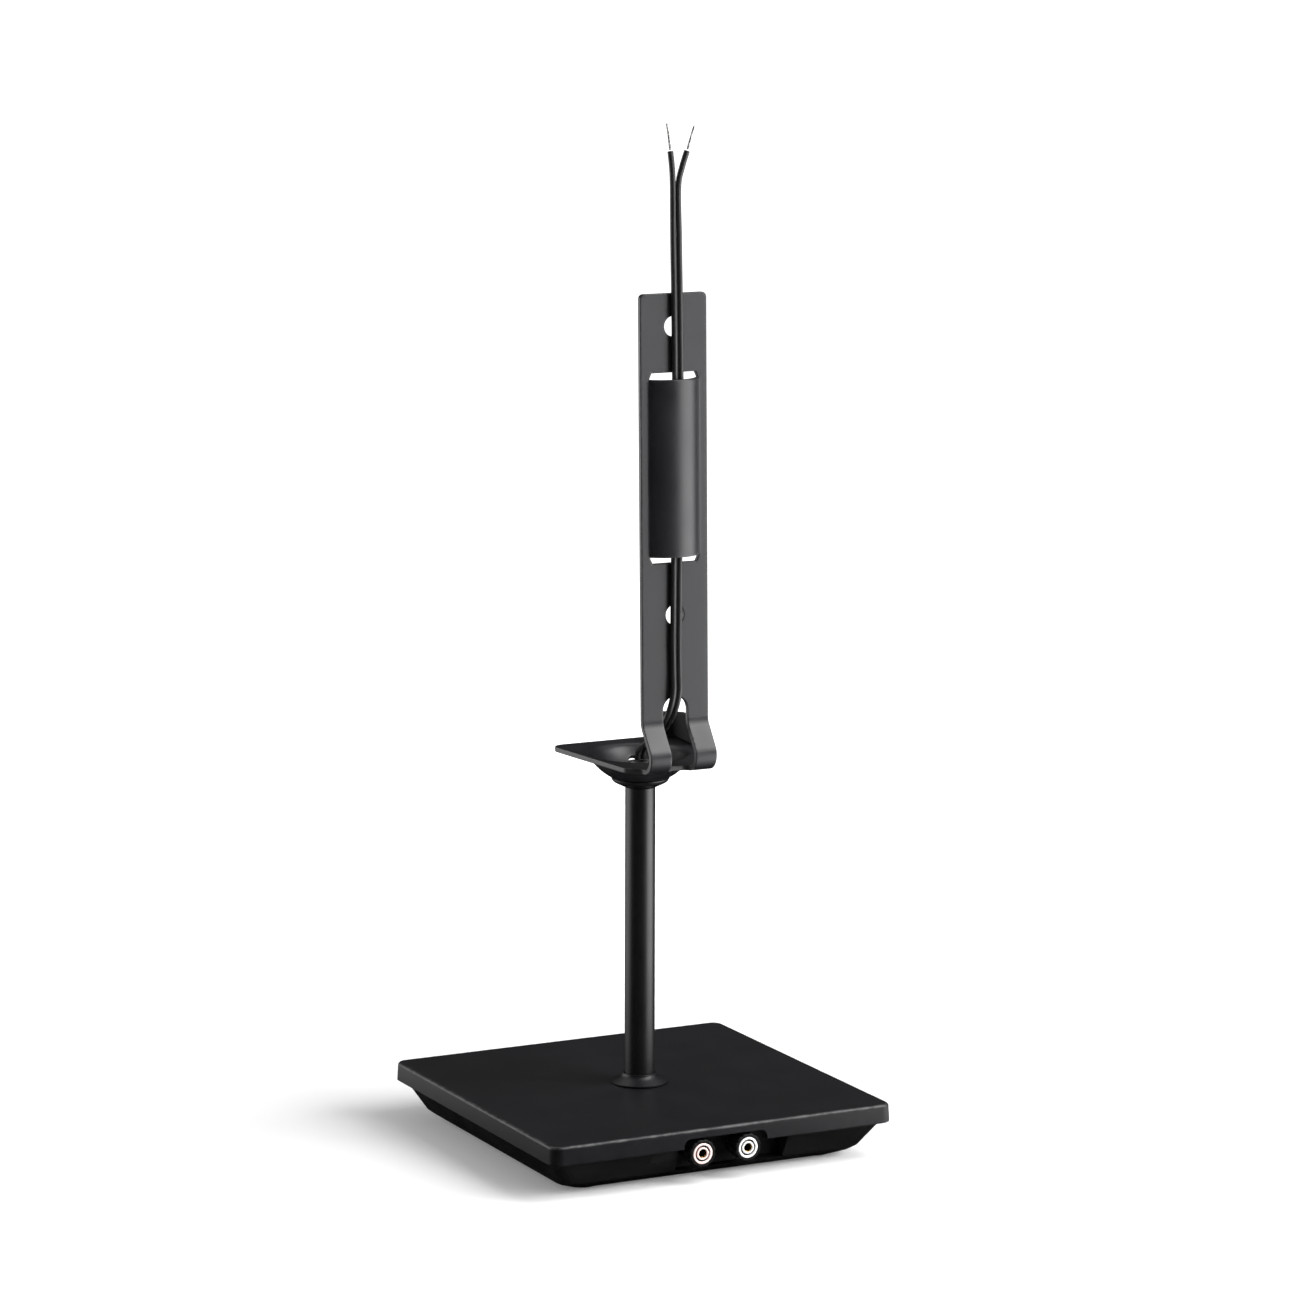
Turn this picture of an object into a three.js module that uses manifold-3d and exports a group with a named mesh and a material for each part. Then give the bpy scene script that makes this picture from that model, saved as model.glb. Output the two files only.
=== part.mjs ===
// Desk stand for a small loudspeaker: a square weighted base with two wire terminals in its rear
// edge, a round column, and a bent sheet bracket that swivels and tilts on a dished ball seat.
// Millimetres, +Z up, origin at the centre of the footprint on the floor. The terminals face -Y.

import * as THREE from 'three';
import { mergeVertices } from 'three/addons/utils/BufferGeometryUtils.js';
import Module from 'manifold-3d';

const wasm = await Module();
wasm.setup();

// ---------------------------------------------------------------- driving dimensions

const GAP = 0.3;                      // clearance between neighbouring pieces
const PAST = 2;                       // how far a cut runs on past the piece it opens
const FAR = 500;                      // beyond the whole stand

const base = {
  side: 180, top: 27, skirt: 9,       // square top plate, its upper face, and how deep its skirt hangs
  corner: 5.5, edge: 1.5, draft: 0.4, // plan corner radius, rounded top edge, spread of the skirt
  thick: 3, wall: 3,                  // thickness of the plate's top and of its skirt
  notchHalf: 22, notchHigh: 4.6, notchRadius: 3.5,
};

const tub = {                         // moulded underbody
  floor: 1.5, wall: 2.5,
  rimInset: 3.7, rimDraft: 0.3,       // from the plate's edge to the rim inside the skirt
  shoulderDrop: 1.5,                  // the upright rim ends this far below the skirt
  toeInset: 9.8, toeHigh: 5.4,        // where the sloping side turns under
  bulge: 0.41,                        // share of the turn's run-in at half its height
  soleInset: 16, rimCorner: 4.5, toeCorner: 9, soleCorner: 12,
  postRadius: 11, postTop: 8,         // pads round the screws
};

const pocket = {                      // recess in the rear of the underbody, with a shallow ledge beside it
  left: -22, right: 35.5, floor: 5.5, depth: 16.8, wall: 2.2,
  ledgeLeft: -36, ledgeFloor: 11, ledgeDepth: 7.5,
};

const foot = { radius: 9, high: 2.7, edge: 1.2, recess: 1.5, inset: 28 };
const screw = {
  shank: 1.6, head: 3.4, headHigh: 1.8, chamfer: 0.6, length: 11,
  driveRadius: 1.2, driveDeep: 0.8, bossRadius: 4, bossBore: 1.9, bore: 10.7,
};
const ballast = { inset: 20, pocketGap: 25.2, corner: 4, thick: 8, boltGap: 1 };

const column = {
  radius: 7.3, wall: 1.2, height: 146.2,
  collarRadius: 13.8, collarHigh: 4.8, collarRim: 0.7, collarWall: 0.6,
  plugLength: 15, plugFit: 0.2, plugChamfer: 0.5,
  spigot: 4.9, bore: 3.3, spigotProud: 0.4,
  washerRadius: 11, washerThick: 1, nutFlats: 15, nutThick: 2.9,
};

const ball = {                        // ball seat between column and bracket
  radius: 29.7, rise: 31,             // underside of the dish, and its centre's height over the column
  hole: 9.5, holeTaper: 0.4,          // hole in the dish, narrower on its upper side
  shoulder: 5,                        // fillet between dish and tray
  cupRadius: 14, cupWall: 1.8, cupFloor: 1.3, cupFoot: 1.6,
  peephole: 2.9, peepholeReach: 18.7, peepholeTurn: 15.5,
  washerRadius: 13.5, washerRim: 0.97, nutFlats: 14, nutThick: 3,
};

const bracket = {                     // heights are measured from the tray's mid-plane
  thick: 2.5, width: 35,
  trayDrop: 15.7, top: 225,           // tray below the ball's centre, top edge of the upright
  front: 35.5, frontHalf: 31.2, frontCorner: 6,
  neckHalf: 24.4, neckY: -32, neckRun: 5.5, neckRadius: 5,
  heelY: -44.7, heelTop: 10, heelRadius: 7,
  backY: -35.65, backFoot: 20.5, lean: 1.12, jogRadius: 8,
  slotHalf: 6.7, slotTop: 34.6, slotEndY: -37.5, slotEndRadius: 3,
  holeRadius: 4.75, lowerHole: 73.5, upperHole: 209.5, topCorner: 2.4,
  bridgeLow: 101.3, bridgeHigh: 184.9, bridgeHalf: 12.65, bridgeRise: 6.2, bridgeThick: 2.1,
  slit: 3, slitHalf: 12.9, slitSlant: 1.4,
};

const lip = {                         // upstanding side lip of the tray and its pad
  x: 36.6, y: 18.5, turn: 4.7, length: 31, high: 14,
  bend: 1.2, root: 9,                 // inner bend radius, and how far the fold reaches into the tray
  crown: 12, corner: 4, nearDrop: 3.2, farDrop: 2.2,
  rampRun: 5, rampRadius: 4,          // how the tray widens towards the fold
  padThick: 2, padShort: 2, padDrop: 3.8,
};

const post = {                        // terminals: distances run outwards from the panel's face
  spacing: 24, height: 15,
  panelThick: 2.5, panelHalf: 21.5, panelTop: 22, panelCorner: 1,
  stem: 2.75, nose: 2.4, noseFrom: 9.5, socket: 2, socketEnd: -4, front: 11.9, tail: -11,
  chamfer: 0.5, mouth: 0.2,           // stem's tail end and the edge of its socket
  hole: 3.05, crossHole: 1.2, crossAt: 5.4,
  collarRadius: 6, collarThick: 2.4,
  washerRadius: 5.6, washerThick: 0.9,
  capRadius: 6.75, capFront: 14, capEdge: 0.6, neckInset: 0.4, neckLong: 2.6,
  flutes: 12, fluteRadius: 0.9, fluteDepth: 0.35,
  ringOuter: 5.15, ringInner: 4.05, ringThick: 1.2, seat: 0.2,
  bushOuter: 3.25, bushInner: 2.15, bushThick: 1.5,
  lugRadius: 4.6, lugThick: 0.8, lugTail: 9.4, lugHalf: 1.6, lugHole: 0.8, lugHoleAt: 7.4,
  nutFlats: 9.5, nutThick: 3,
};

const lead = { core: 1.4, pitch: 3.1, strand: 0.55, sides: 8, step: 7.5, innerSteps: 30 };

// ---------------------------------------------------------------- derived places

const plateUnder = base.top - base.thick;
const skirtLow = base.top - base.skirt;
const half = base.side / 2;
const columnFoot = base.top + GAP;
const columnTop = base.top + column.height;
const tubeInner = column.radius - column.wall;
const tubInside = tub.floor + tub.wall;
const footSpread = half - foot.inset;
const pocketBack = -(half - pocket.depth);
const pocketBackInner = pocketBack + pocket.wall;
const ledgeBack = -(half - pocket.ledgeDepth);
const panelFace = pocketBack - GAP - post.panelThick;
const ballastTop = plateUnder - GAP;
const ballastLow = ballastTop - ballast.thick;
const ballCentre = columnTop + ball.rise;
const tray = ballCentre - bracket.trayDrop;
const trayTop = tray + bracket.thick / 2;
const trayLow = tray - bracket.thick / 2;
const bracketTop = tray + bracket.top;
const backFoot = tray + bracket.backFoot;
const lean = THREE.MathUtils.degToRad(bracket.lean);
const slope = Math.tan(lean);
const dishInner = ball.radius - bracket.thick;

const rearFace = (z) => bracket.backY + (z - backFoot) * slope - bracket.thick / 2 / Math.cos(lean);
const sphereZ = (radius, r) => ballCentre - Math.sqrt(radius * radius - r * r);

// ---------------------------------------------------------------- solids and shapes

function outward(geometry) {
  const p = geometry.attributes.position;
  const index = geometry.index.array;
  const [a, b, c] = [new THREE.Vector3(), new THREE.Vector3(), new THREE.Vector3()];
  let volume = 0;
  for (let i = 0; i < index.length; i += 3) {
    a.fromBufferAttribute(p, index[i]);
    b.fromBufferAttribute(p, index[i + 1]);
    c.fromBufferAttribute(p, index[i + 2]);
    volume += a.dot(b.cross(c));
  }
  if (volume < 0) {
    for (let i = 0; i < index.length; i += 3) {
      [index[i + 1], index[i + 2]] = [index[i + 2], index[i + 1]];
    }
  }
  return geometry;
}

function closed(geometry) {
  geometry.deleteAttribute('normal');
  geometry.deleteAttribute('uv');
  const merged = mergeVertices(geometry, 1e-4);
  const index = merged.index.array;
  const kept = [];
  for (let i = 0; i < index.length; i += 3) {
    const [a, b, c] = [index[i], index[i + 1], index[i + 2]];
    if (a !== b && b !== c && c !== a) kept.push(a, b, c);
  }
  merged.setIndex(kept);
  return outward(merged);
}

function solid(geometry) {
  const g = closed(geometry);
  return new wasm.Manifold(new wasm.Mesh({
    numProp: 3,
    vertProperties: Float32Array.from(g.attributes.position.array),
    triVerts: Uint32Array.from(g.index.array),
  }));
}

function geometryOf(manifold) {
  const mesh = manifold.getMesh();
  const g = new THREE.BufferGeometry();
  g.setAttribute('position', new THREE.BufferAttribute(mesh.vertProperties, 3));
  g.setIndex(new THREE.BufferAttribute(mesh.triVerts, 1));
  return g;
}

const vectors = (points) => points.map(([x, y]) => new THREE.Vector2(x, y));

// Revolve a closed [radius, height] profile about Z.
function turned(profile, segments = 28) {
  const g = new THREE.LatheGeometry(vectors([...profile, profile[0]]), segments);
  return g.rotateX(Math.PI / 2);
}

const ringOf = (inner, outer, low, high, segments = 18) => turned(
  [[inner, low], [outer, low], [outer, high], [inner, high]], segments);

// Extrude an XY shape from low to high along Z.
function slab(shape, low, high, curveSegments = 8) {
  const options = { depth: high - low, bevelEnabled: false, curveSegments };
  return new THREE.ExtrudeGeometry(shape, options).translate(0, 0, low);
}

// Extrude an XZ shape from the rear plane to the front plane along Y.
function across(shape, rear, front, curveSegments = 8) {
  return slab(shape, -front, -rear, curveSegments).rotateX(Math.PI / 2);
}

function block(x0, x1, y0, y1, z0, z1) {
  return new THREE.BoxGeometry(x1 - x0, y1 - y0, z1 - z0)
    .translate((x0 + x1) / 2, (y0 + y1) / 2, (z0 + z1) / 2);
}

function disc(x, y, radius, low, high, segments = 20) {
  return new THREE.CylinderGeometry(radius, radius, high - low, segments)
    .rotateX(Math.PI / 2).translate(x, y, (low + high) / 2);
}

function hexagon(flats) {
  const reach = flats / Math.sqrt(3);
  return new THREE.Shape(vectors([...Array(6).keys()].map((i) => [
    reach * Math.cos(i * Math.PI / 3), reach * Math.sin(i * Math.PI / 3)])));
}

function circleHole(shape, radius, x = 0, y = 0) {
  const hole = new THREE.Path();
  hole.absarc(x, y, radius, 0, 2 * Math.PI, true);
  shape.holes.push(hole);
  return shape;
}

function nut(flats, bore, low, high) {
  return slab(circleHole(hexagon(flats), bore), low, high, 8);
}

// Points of a polyline whose inner corners [x, y, radius] are rounded by arcs; a loop rounds them all.
function roundedLine(corners, steps = 6, loop = false) {
  const points = [];
  const count = corners.length;
  corners.forEach(([x, y, radius = 0], i) => {
    const here = new THREE.Vector2(x, y);
    if (!radius || (!loop && (i === 0 || i === count - 1))) {
      points.push(here);
      return;
    }
    const towards = (k) => new THREE.Vector2(corners[k][0], corners[k][1]).sub(here).normalize();
    const before = towards((i + count - 1) % count);
    const after = towards((i + 1) % count);
    const halfAngle = Math.acos(THREE.MathUtils.clamp(before.dot(after), -1, 1)) / 2;
    const reach = radius / Math.tan(halfAngle);
    const middle = before.clone().add(after).normalize();
    const centre = here.clone().addScaledVector(middle, radius / Math.sin(halfAngle));
    const from = here.clone().addScaledVector(before, reach).sub(centre);
    const to = here.clone().addScaledVector(after, reach).sub(centre);
    const sweep = Math.atan2(from.x * to.y - from.y * to.x, from.dot(to));
    for (let k = 0; k <= steps; k += 1) {
      points.push(from.clone().rotateAround(new THREE.Vector2(), sweep * k / steps).add(centre));
    }
  });
  return points;
}

const roundedShape = (corners, steps = 4) => new THREE.Shape(roundedLine(corners, steps, true));

// A sheet of even thickness that follows a mid-line.
function ribbon(line, thick) {
  const side = (sign) => line.map((p, i) => {
    const before = line[Math.max(i - 1, 0)];
    const after = line[Math.min(i + 1, line.length - 1)];
    const along = after.clone().sub(before).normalize();
    return new THREE.Vector2(-along.y, along.x).multiplyScalar(sign * thick / 2).add(p);
  });
  return new THREE.Shape([...side(1), ...side(-1).reverse()]);
}

// One ring of a rounded square.
function squareRing(z, size, radius, steps) {
  const ring = [];
  for (let q = 0; q < 4; q += 1) {
    const turn = q * Math.PI / 2;
    const centre = new THREE.Vector2(size - radius, size - radius).rotateAround(new THREE.Vector2(), turn);
    for (let k = 0; k <= steps; k += 1) {
      const a = turn + k / steps * Math.PI / 2;
      ring.push([centre.x + radius * Math.cos(a), centre.y + radius * Math.sin(a), z]);
    }
  }
  return ring;
}

// Loft of rounded squares, from levels [z, half size, corner radius].
function squareLoft(levels, steps = 4) {
  const rings = levels.map(([z, size, radius]) => squareRing(z, size, radius, steps));
  const count = rings[0].length;
  const index = [];
  for (let r = 0; r + 1 < rings.length; r += 1) {
    for (let k = 0; k < count; k += 1) {
      const [a, b] = [r * count + k, r * count + (k + 1) % count];
      index.push(a, b, b + count, a, b + count, a + count);
    }
  }
  const end = (rings.length - 1) * count;
  for (let k = 1; k + 1 < count; k += 1) {
    index.push(0, k + 1, k, end, end + k, end + k + 1);
  }
  const g = new THREE.BufferGeometry();
  g.setAttribute('position', new THREE.Float32BufferAttribute(rings.flat(2), 3));
  g.setIndex(index);
  return g;
}

// Round wire of constant radius along a smooth curve through the points.
function wire(points, radius, steps) {
  const curve = new THREE.CatmullRomCurve3(points.map((p) => new THREE.Vector3(...p)), false, 'centripetal');
  const section = new THREE.Shape(vectors([...Array(lead.sides).keys()].map((i) => [
    radius * Math.cos(i * 2 * Math.PI / lead.sides), radius * Math.sin(i * 2 * Math.PI / lead.sides)])));
  return new THREE.ExtrudeGeometry(section, {
    steps: steps ?? Math.ceil(curve.getLength() / lead.step), extrudePath: curve, bevelEnabled: false,
  });
}

// ---------------------------------------------------------------- finishes

const finish = (color, roughness, metalness) => new THREE.MeshStandardMaterial(
  { color, roughness, metalness });

const finishes = {
  satinBlack: () => finish(0x2a2b2e, 0.42, 0.3),
  moulded: () => finish(0x17181a, 0.6, 0),
  gunmetal: () => finish(0x55565b, 0.38, 0.8),
  zinc: () => finish(0x9ea1a5, 0.35, 0.9),
  steel: () => finish(0x6f7074, 0.5, 0.8),
  rubber: () => finish(0x0f0f10, 0.9, 0),
  gold: () => finish(0xd0a548, 0.25, 1),
  red: () => finish(0xd9574f, 0.4, 0),
  white: () => finish(0xe9e8e4, 0.4, 0),
  jacket: () => finish(0x1a1b1d, 0.5, 0),
  tinned: () => finish(0xc6c4be, 0.35, 1),
};

const stand = new THREE.Group();

function add(name, geometry, material, parent = stand) {
  const mesh = new THREE.Mesh(geometry, material());
  mesh.name = name;
  parent.add(mesh);
  return mesh;
}

// ---------------------------------------------------------------- base

const corners = [[1, 1], [-1, 1], [-1, -1], [1, -1]];
const footPlaces = corners.map(([i, j]) => [i * footSpread, j * footSpread]);

function makeBasePlate() {
  const arc = [0, 1, 2, 3].map((k) => {
    const a = k / 3 * Math.PI / 2;
    const inset = base.edge * (1 - Math.sin(a));
    return [base.top - base.edge * (1 - Math.cos(a)), half - inset, base.corner - inset];
  });
  const outer = solid(squareLoft([...arc, [skirtLow, half + base.draft, base.corner + base.draft]]));
  const innerHalf = half - base.wall;
  const innerCorner = base.corner - base.wall + base.draft;
  const hollow = solid(squareLoft([
    [plateUnder, innerHalf, innerCorner], [skirtLow - PAST, innerHalf + base.draft, innerCorner]], 3));
  const notchTop = skirtLow + base.notchHigh;
  const notch = solid(across(roundedShape([
    [-base.notchHalf, notchTop, base.notchRadius], [base.notchHalf, notchTop, base.notchRadius],
    [base.notchHalf, skirtLow - PAST], [-base.notchHalf, skirtLow - PAST]]),
  -half - PAST, -half + base.wall + PAST));
  let body = outer.subtract(hollow).subtract(notch)
    .subtract(solid(disc(0, 0, column.spigot + GAP, plateUnder - PAST, base.top + PAST, 24)));
  const bossLow = tub.postTop + GAP;
  for (const [x, y] of footPlaces) {
    body = body.add(solid(disc(x, y, screw.bossRadius, bossLow, plateUnder + base.thick / 2, 12)))
      .subtract(solid(disc(x, y, screw.bossBore, bossLow - PAST, bossLow + screw.bore, 8)));
  }
  return geometryOf(body);
}

function makeUnderbody() {
  const rim = half - tub.rimInset;
  const [toe, sole] = [half - tub.toeInset, half - tub.soleInset];
  const w = tub.wall;
  const high = plateUnder - GAP;
  const shoulder = skirtLow - tub.shoulderDrop;
  const outer = solid(squareLoft([
    [high, rim, tub.rimCorner], [shoulder, rim - tub.rimDraft, tub.rimCorner + tub.rimDraft],
    [tub.toeHigh, toe, tub.toeCorner],
    [(tub.toeHigh + tub.floor) / 2, THREE.MathUtils.lerp(toe, sole, tub.bulge), tub.toeCorner],
    [tub.floor, sole, tub.soleCorner]]));
  const inner = solid(squareLoft([
    [high + PAST, rim - w, tub.rimCorner - w / 2],
    [shoulder, rim - tub.rimDraft - w, tub.rimCorner - w / 2],
    [tub.toeHigh + w / 2, toe - w, tub.toeCorner - w], [tubInside, sole - w / 2, tub.soleCorner - w]], 3));
  const floorMiddle = tub.floor + w / 2;
  const pocketWalls = solid(block(pocket.left - pocket.wall, pocket.right + pocket.wall,
    -half, pocketBackInner, floorMiddle, high));
  const ledgeWalls = solid(block(pocket.ledgeLeft - pocket.wall, pocket.left,
    -half, ledgeBack + pocket.wall, pocket.ledgeFloor - pocket.wall, high));
  let body = outer.subtract(inner).add(outer.intersect(pocketWalls.add(ledgeWalls)));
  for (const [x, y] of footPlaces) {
    body = body.add(solid(disc(x, y, tub.postRadius, floorMiddle, tub.postTop, 16)));
  }
  body = body
    .subtract(solid(block(pocket.left, pocket.right, -half - PAST, pocketBack, pocket.floor, high + PAST)))
    .subtract(solid(block(pocket.ledgeLeft, pocket.left + pocket.wall, -half - PAST, ledgeBack,
      pocket.ledgeFloor, high + PAST)));
  const recess = tub.floor + foot.recess;
  for (const [x, y] of footPlaces) {
    body = body
      .subtract(solid(disc(x, y, foot.radius + GAP, tub.floor - PAST, recess, 16)))
      .subtract(solid(disc(x, y, screw.head + GAP, tub.floor, recess + screw.headHigh + 2 * GAP, 8)))
      .subtract(solid(disc(x, y, screw.shank + GAP, tub.floor, tub.postTop + PAST, 8)));
  }
  for (const side of [-1, 1]) {
    body = body.subtract(solid(disc(0, 0, post.hole, -PAST, pocket.wall + PAST)
      .rotateX(Math.PI / 2).translate(side * post.spacing / 2, pocketBackInner, post.height)));
  }
  return geometryOf(body);
}

function makeBallast() {
  const { corner } = ballast;
  const [wide, rear] = [half - ballast.inset, pocketBack + ballast.pocketGap];
  const shape = roundedShape([
    [-wide, rear, corner], [wide, rear, corner], [wide, wide, corner], [-wide, wide, corner]]);
  circleHole(shape, column.spigot + GAP);
  for (const [x, y] of footPlaces.filter((place) => place[1] > 0)) {
    circleHole(shape, screw.bossRadius + ballast.boltGap, x, y);
  }
  return slab(shape, ballastLow, ballastTop, 8);
}

function makeScrew() {
  const low = tub.floor + foot.recess + GAP;
  const top = low + screw.headHigh;
  const tip = top + screw.length;
  return turned([[0, low + screw.driveDeep], [screw.driveRadius, low + screw.driveDeep],
    [screw.driveRadius, low], [screw.head - screw.chamfer, low],
    [screw.head, low + screw.chamfer], [screw.head, top],
    [screw.shank, top], [screw.shank, tip - screw.shank], [0, tip]], 8);
}

function makeFoot() {
  const [r, e] = [foot.radius, foot.edge];
  return turned([[0, 0], [r - e, 0], [r - e / 3, e / 3], [r, e], [r, foot.high], [0, foot.high]], 16);
}

add('base_plate', makeBasePlate(), finishes.satinBlack);
add('underbody', makeUnderbody(), finishes.moulded);
add('ballast_plate', makeBallast(), finishes.steel);
footPlaces.forEach(([x, y], i) => {
  add(`rubber_foot_${i + 1}`, makeFoot(), finishes.rubber).position.set(x, y, 0);
  add(`base_screw_${i + 1}`, makeScrew(), finishes.zinc).position.set(x, y, 0);
});

// ---------------------------------------------------------------- column

function makeCollar() {
  const bore = column.radius + GAP;
  const top = bore + column.collarWall;
  const flare = [0, 1, 2, 3, 4].map((k) => [
    THREE.MathUtils.lerp(column.collarRadius, top, 1 - (1 - k / 4) ** 2),
    THREE.MathUtils.lerp(column.collarRim, column.collarHigh, k / 4)]);
  return turned([[bore, 0], [column.collarRadius, 0], ...flare, [bore, column.collarHigh]], 24)
    .translate(0, 0, columnFoot);
}

const plugRadius = tubeInner - column.plugFit;
const lowNutTop = ballastLow - 2 * GAP - column.washerThick;
const lowNutLow = lowNutTop - column.nutThick;

function makeLowerPlug() {
  const [low, top] = [lowNutLow - column.spigotProud, columnFoot + column.plugLength];
  return turned([[column.bore, low], [column.spigot, low], [column.spigot, columnFoot],
    [plugRadius, columnFoot], [plugRadius, top], [column.bore, top]], 16);
}

const ballWasherTop = sphereZ(dishInner - GAP, ball.washerRadius) + ball.washerRim;
const ballNutTop = ballWasherTop + GAP + ball.nutThick;

function makeUpperPlug() {
  const [low, top] = [columnTop - column.plugLength, ballNutTop + column.spigotProud];
  const c = column.plugChamfer;
  return turned([[column.bore, low], [plugRadius, low], [plugRadius, columnTop], [column.spigot, columnTop],
    [column.spigot, top - c], [column.spigot - c, top], [column.bore + c, top], [column.bore, top - c]], 16);
}

function makeCup() {
  const inner = ball.hole + ball.holeTaper;
  const seatArc = [0, 1, 2].map((k) => {
    const r = THREE.MathUtils.lerp(ball.cupRadius, inner, k / 2);
    return [r, sphereZ(ball.radius + GAP, r)];
  });
  const lipZ = seatArc[0][1];
  const low = columnTop + GAP;
  const floor = low + ball.cupFloor;
  return turned([[column.spigot + GAP, low], [column.radius, low], [column.radius + ball.cupFoot, low + GAP],
    [ball.cupRadius - ball.cupWall / 2, lipZ - ball.cupWall], [ball.cupRadius, lipZ - GAP],
    ...seatArc, [inner - GAP, floor], [column.spigot + GAP, floor]], 24);
}

function makeBallWasher() {
  const bore = column.spigot + GAP;
  const arc = [0, 1, 2].map((k) => {
    const r = THREE.MathUtils.lerp(bore, ball.washerRadius, k / 2);
    return [r, sphereZ(dishInner - GAP, r)];
  });
  return turned([...arc, [ball.washerRadius, ballWasherTop], [bore, ballWasherTop]], 24);
}

const washerHigh = ballastLow - GAP;
const washerUnder = washerHigh - column.washerThick;

add('column_tube', ringOf(tubeInner, column.radius, columnFoot, columnTop, 32), finishes.gunmetal);
add('column_collar', makeCollar(), finishes.satinBlack);
add('lower_plug', makeLowerPlug(), finishes.zinc);
add('upper_plug', makeUpperPlug(), finishes.zinc);
add('column_washer', ringOf(column.spigot + GAP, column.washerRadius, washerUnder, washerHigh),
  finishes.zinc);
add('column_nut', nut(column.nutFlats, column.spigot + GAP, lowNutLow, lowNutTop), finishes.zinc);
add('swivel_cup', makeCup(), finishes.gunmetal);
add('ball_washer', makeBallWasher(), finishes.zinc);
add('ball_nut', nut(ball.nutFlats, column.spigot + GAP, ballWasherTop + GAP, ballNutTop), finishes.zinc);

// ---------------------------------------------------------------- bracket

function trayOutline() {
  const b = bracket;
  const w = b.width / 2;
  const ear = lip.length / 2;
  const rightSide = [[w, -FAR], [w, b.neckY - b.neckRun, b.neckRadius], [b.neckHalf, b.neckY, b.neckRadius],
    [lip.x - lip.root, lip.y - ear - lip.rampRun, lip.rampRadius],
    [lip.x - b.thick, lip.y - ear, b.thick], [lip.x, b.front, b.thick]];
  const leftSide = [[-b.frontHalf, b.front, b.frontCorner], [-b.neckHalf, b.neckY, b.neckRadius],
    [-w, b.neckY - b.neckRun, b.neckRadius], [-w, -FAR]];
  return roundedShape([...rightSide, ...leftSide], 5);
}

function uprightOutline() {
  const [w, split] = [bracket.width / 2, trayTop + bracket.thick];
  return roundedShape([[-FAR, 0], [FAR, 0], [FAR, split], [w, split],
    [w, bracketTop, bracket.topCorner], [-w, bracketTop, bracket.topCorner], [-w, split], [-FAR, split]]);
}

function archSlot() {
  const s = bracket.slotHalf;
  const shape = new THREE.Shape();
  shape.moveTo(-s, trayTop);
  shape.lineTo(s, trayTop);
  shape.absarc(0, tray + bracket.slotTop - s, s, 0, Math.PI, false);
  shape.closePath();
  return shape;
}

// Everything formed in the upright is made in a frame with z = 0 at its foot and y = 0 on its rear
// face, then leaned back with it.
const leaned = (geometry) => geometry.rotateX(-lean)
  .translate(0, rearFace(backFoot), backFoot);
const up = (height) => (height - bracket.backFoot) / Math.cos(lean);

function bridgeSegment(radius, centreY, chordY) {
  const reach = Math.sqrt(radius * radius - (centreY - chordY) ** 2);
  const start = Math.atan2(chordY - centreY, reach);
  const shape = new THREE.Shape();
  shape.absarc(0, centreY, radius, start, -Math.PI - start, true);
  shape.closePath();
  return shape;
}

function makeBridge() {
  const b = bracket;
  const radius = (b.bridgeHalf ** 2 + b.bridgeRise ** 2) / (2 * b.bridgeRise);
  const centreY = radius - b.bridgeRise;
  const [low, high] = [up(b.bridgeLow) - b.slit / 2, up(b.bridgeHigh) + b.slit / 2];
  const outer = solid(leaned(slab(bridgeSegment(radius, centreY, b.thick / 2), low, high, 9)));
  const inner = solid(leaned(slab(bridgeSegment(radius - b.bridgeThick, centreY, b.thick + GAP),
    low - PAST, high + PAST, 9)));
  return { outer, inner };
}

function slitCut(near, far) {
  const shape = new THREE.Shape(vectors([[-bracket.slitHalf, near], [bracket.slitHalf, near],
    [bracket.slitHalf - bracket.slitSlant, far], [-bracket.slitHalf + bracket.slitSlant, far]]));
  return solid(leaned(across(shape, -bracket.bridgeRise - PAST, bracket.thick + PAST)));
}

// Points of the fillet between the dish's sphere and the flat of the tray.
function dishRim(sphere, flat, fillet) {
  const reach = sphere + fillet;
  const centreZ = flat - fillet;
  const centreR = Math.sqrt(reach ** 2 - (ballCentre - centreZ) ** 2);
  const touch = Math.atan2(ballCentre - centreZ, -centreR);
  return [0, 1, 2, 3].map((k) => {
    const a = THREE.MathUtils.lerp(touch, Math.PI / 2, k / 3);
    return [centreR + fillet * Math.cos(a), centreZ + fillet * Math.sin(a)];
  });
}

const bowl = (sphere, from, to) => [0, 1, 2, 3].map((k) => {
  const radius = THREE.MathUtils.lerp(from, to, k / 4);
  return [radius, sphereZ(sphere, radius)];
});

function makeDish() {
  const topRim = dishRim(dishInner, trayTop, ball.shoulder);
  const lowRim = dishRim(ball.radius, trayLow, ball.shoulder - bracket.thick);
  const inner = [...bowl(dishInner, ball.hole - ball.holeTaper, topRim[0][0]), ...topRim];
  const outer = [...bowl(ball.radius, ball.hole, lowRim[0][0]), ...lowRim];
  const reach = Math.max(topRim[3][0], lowRim[3][0]) + bracket.thick / 2;
  const profile = [...inner, [reach, trayTop], [reach, trayLow], ...outer.reverse()];
  return { solid: solid(turned(profile, 30)), reach };
}

// The side lip is drawn as a section across its fold, with its outer face at zero, and put in place.
function lipPlace(geometry) {
  return geometry.rotateZ(-THREE.MathUtils.degToRad(lip.turn)).translate(lip.x, lip.y, 0);
}

const alongLip = (points, length) => new THREE.ExtrudeGeometry(
  new THREE.Shape(points), { depth: length, bevelEnabled: false },
).rotateX(Math.PI / 2).translate(0, length / 2, 0);

const lipTop = trayTop + lip.high;

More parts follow.
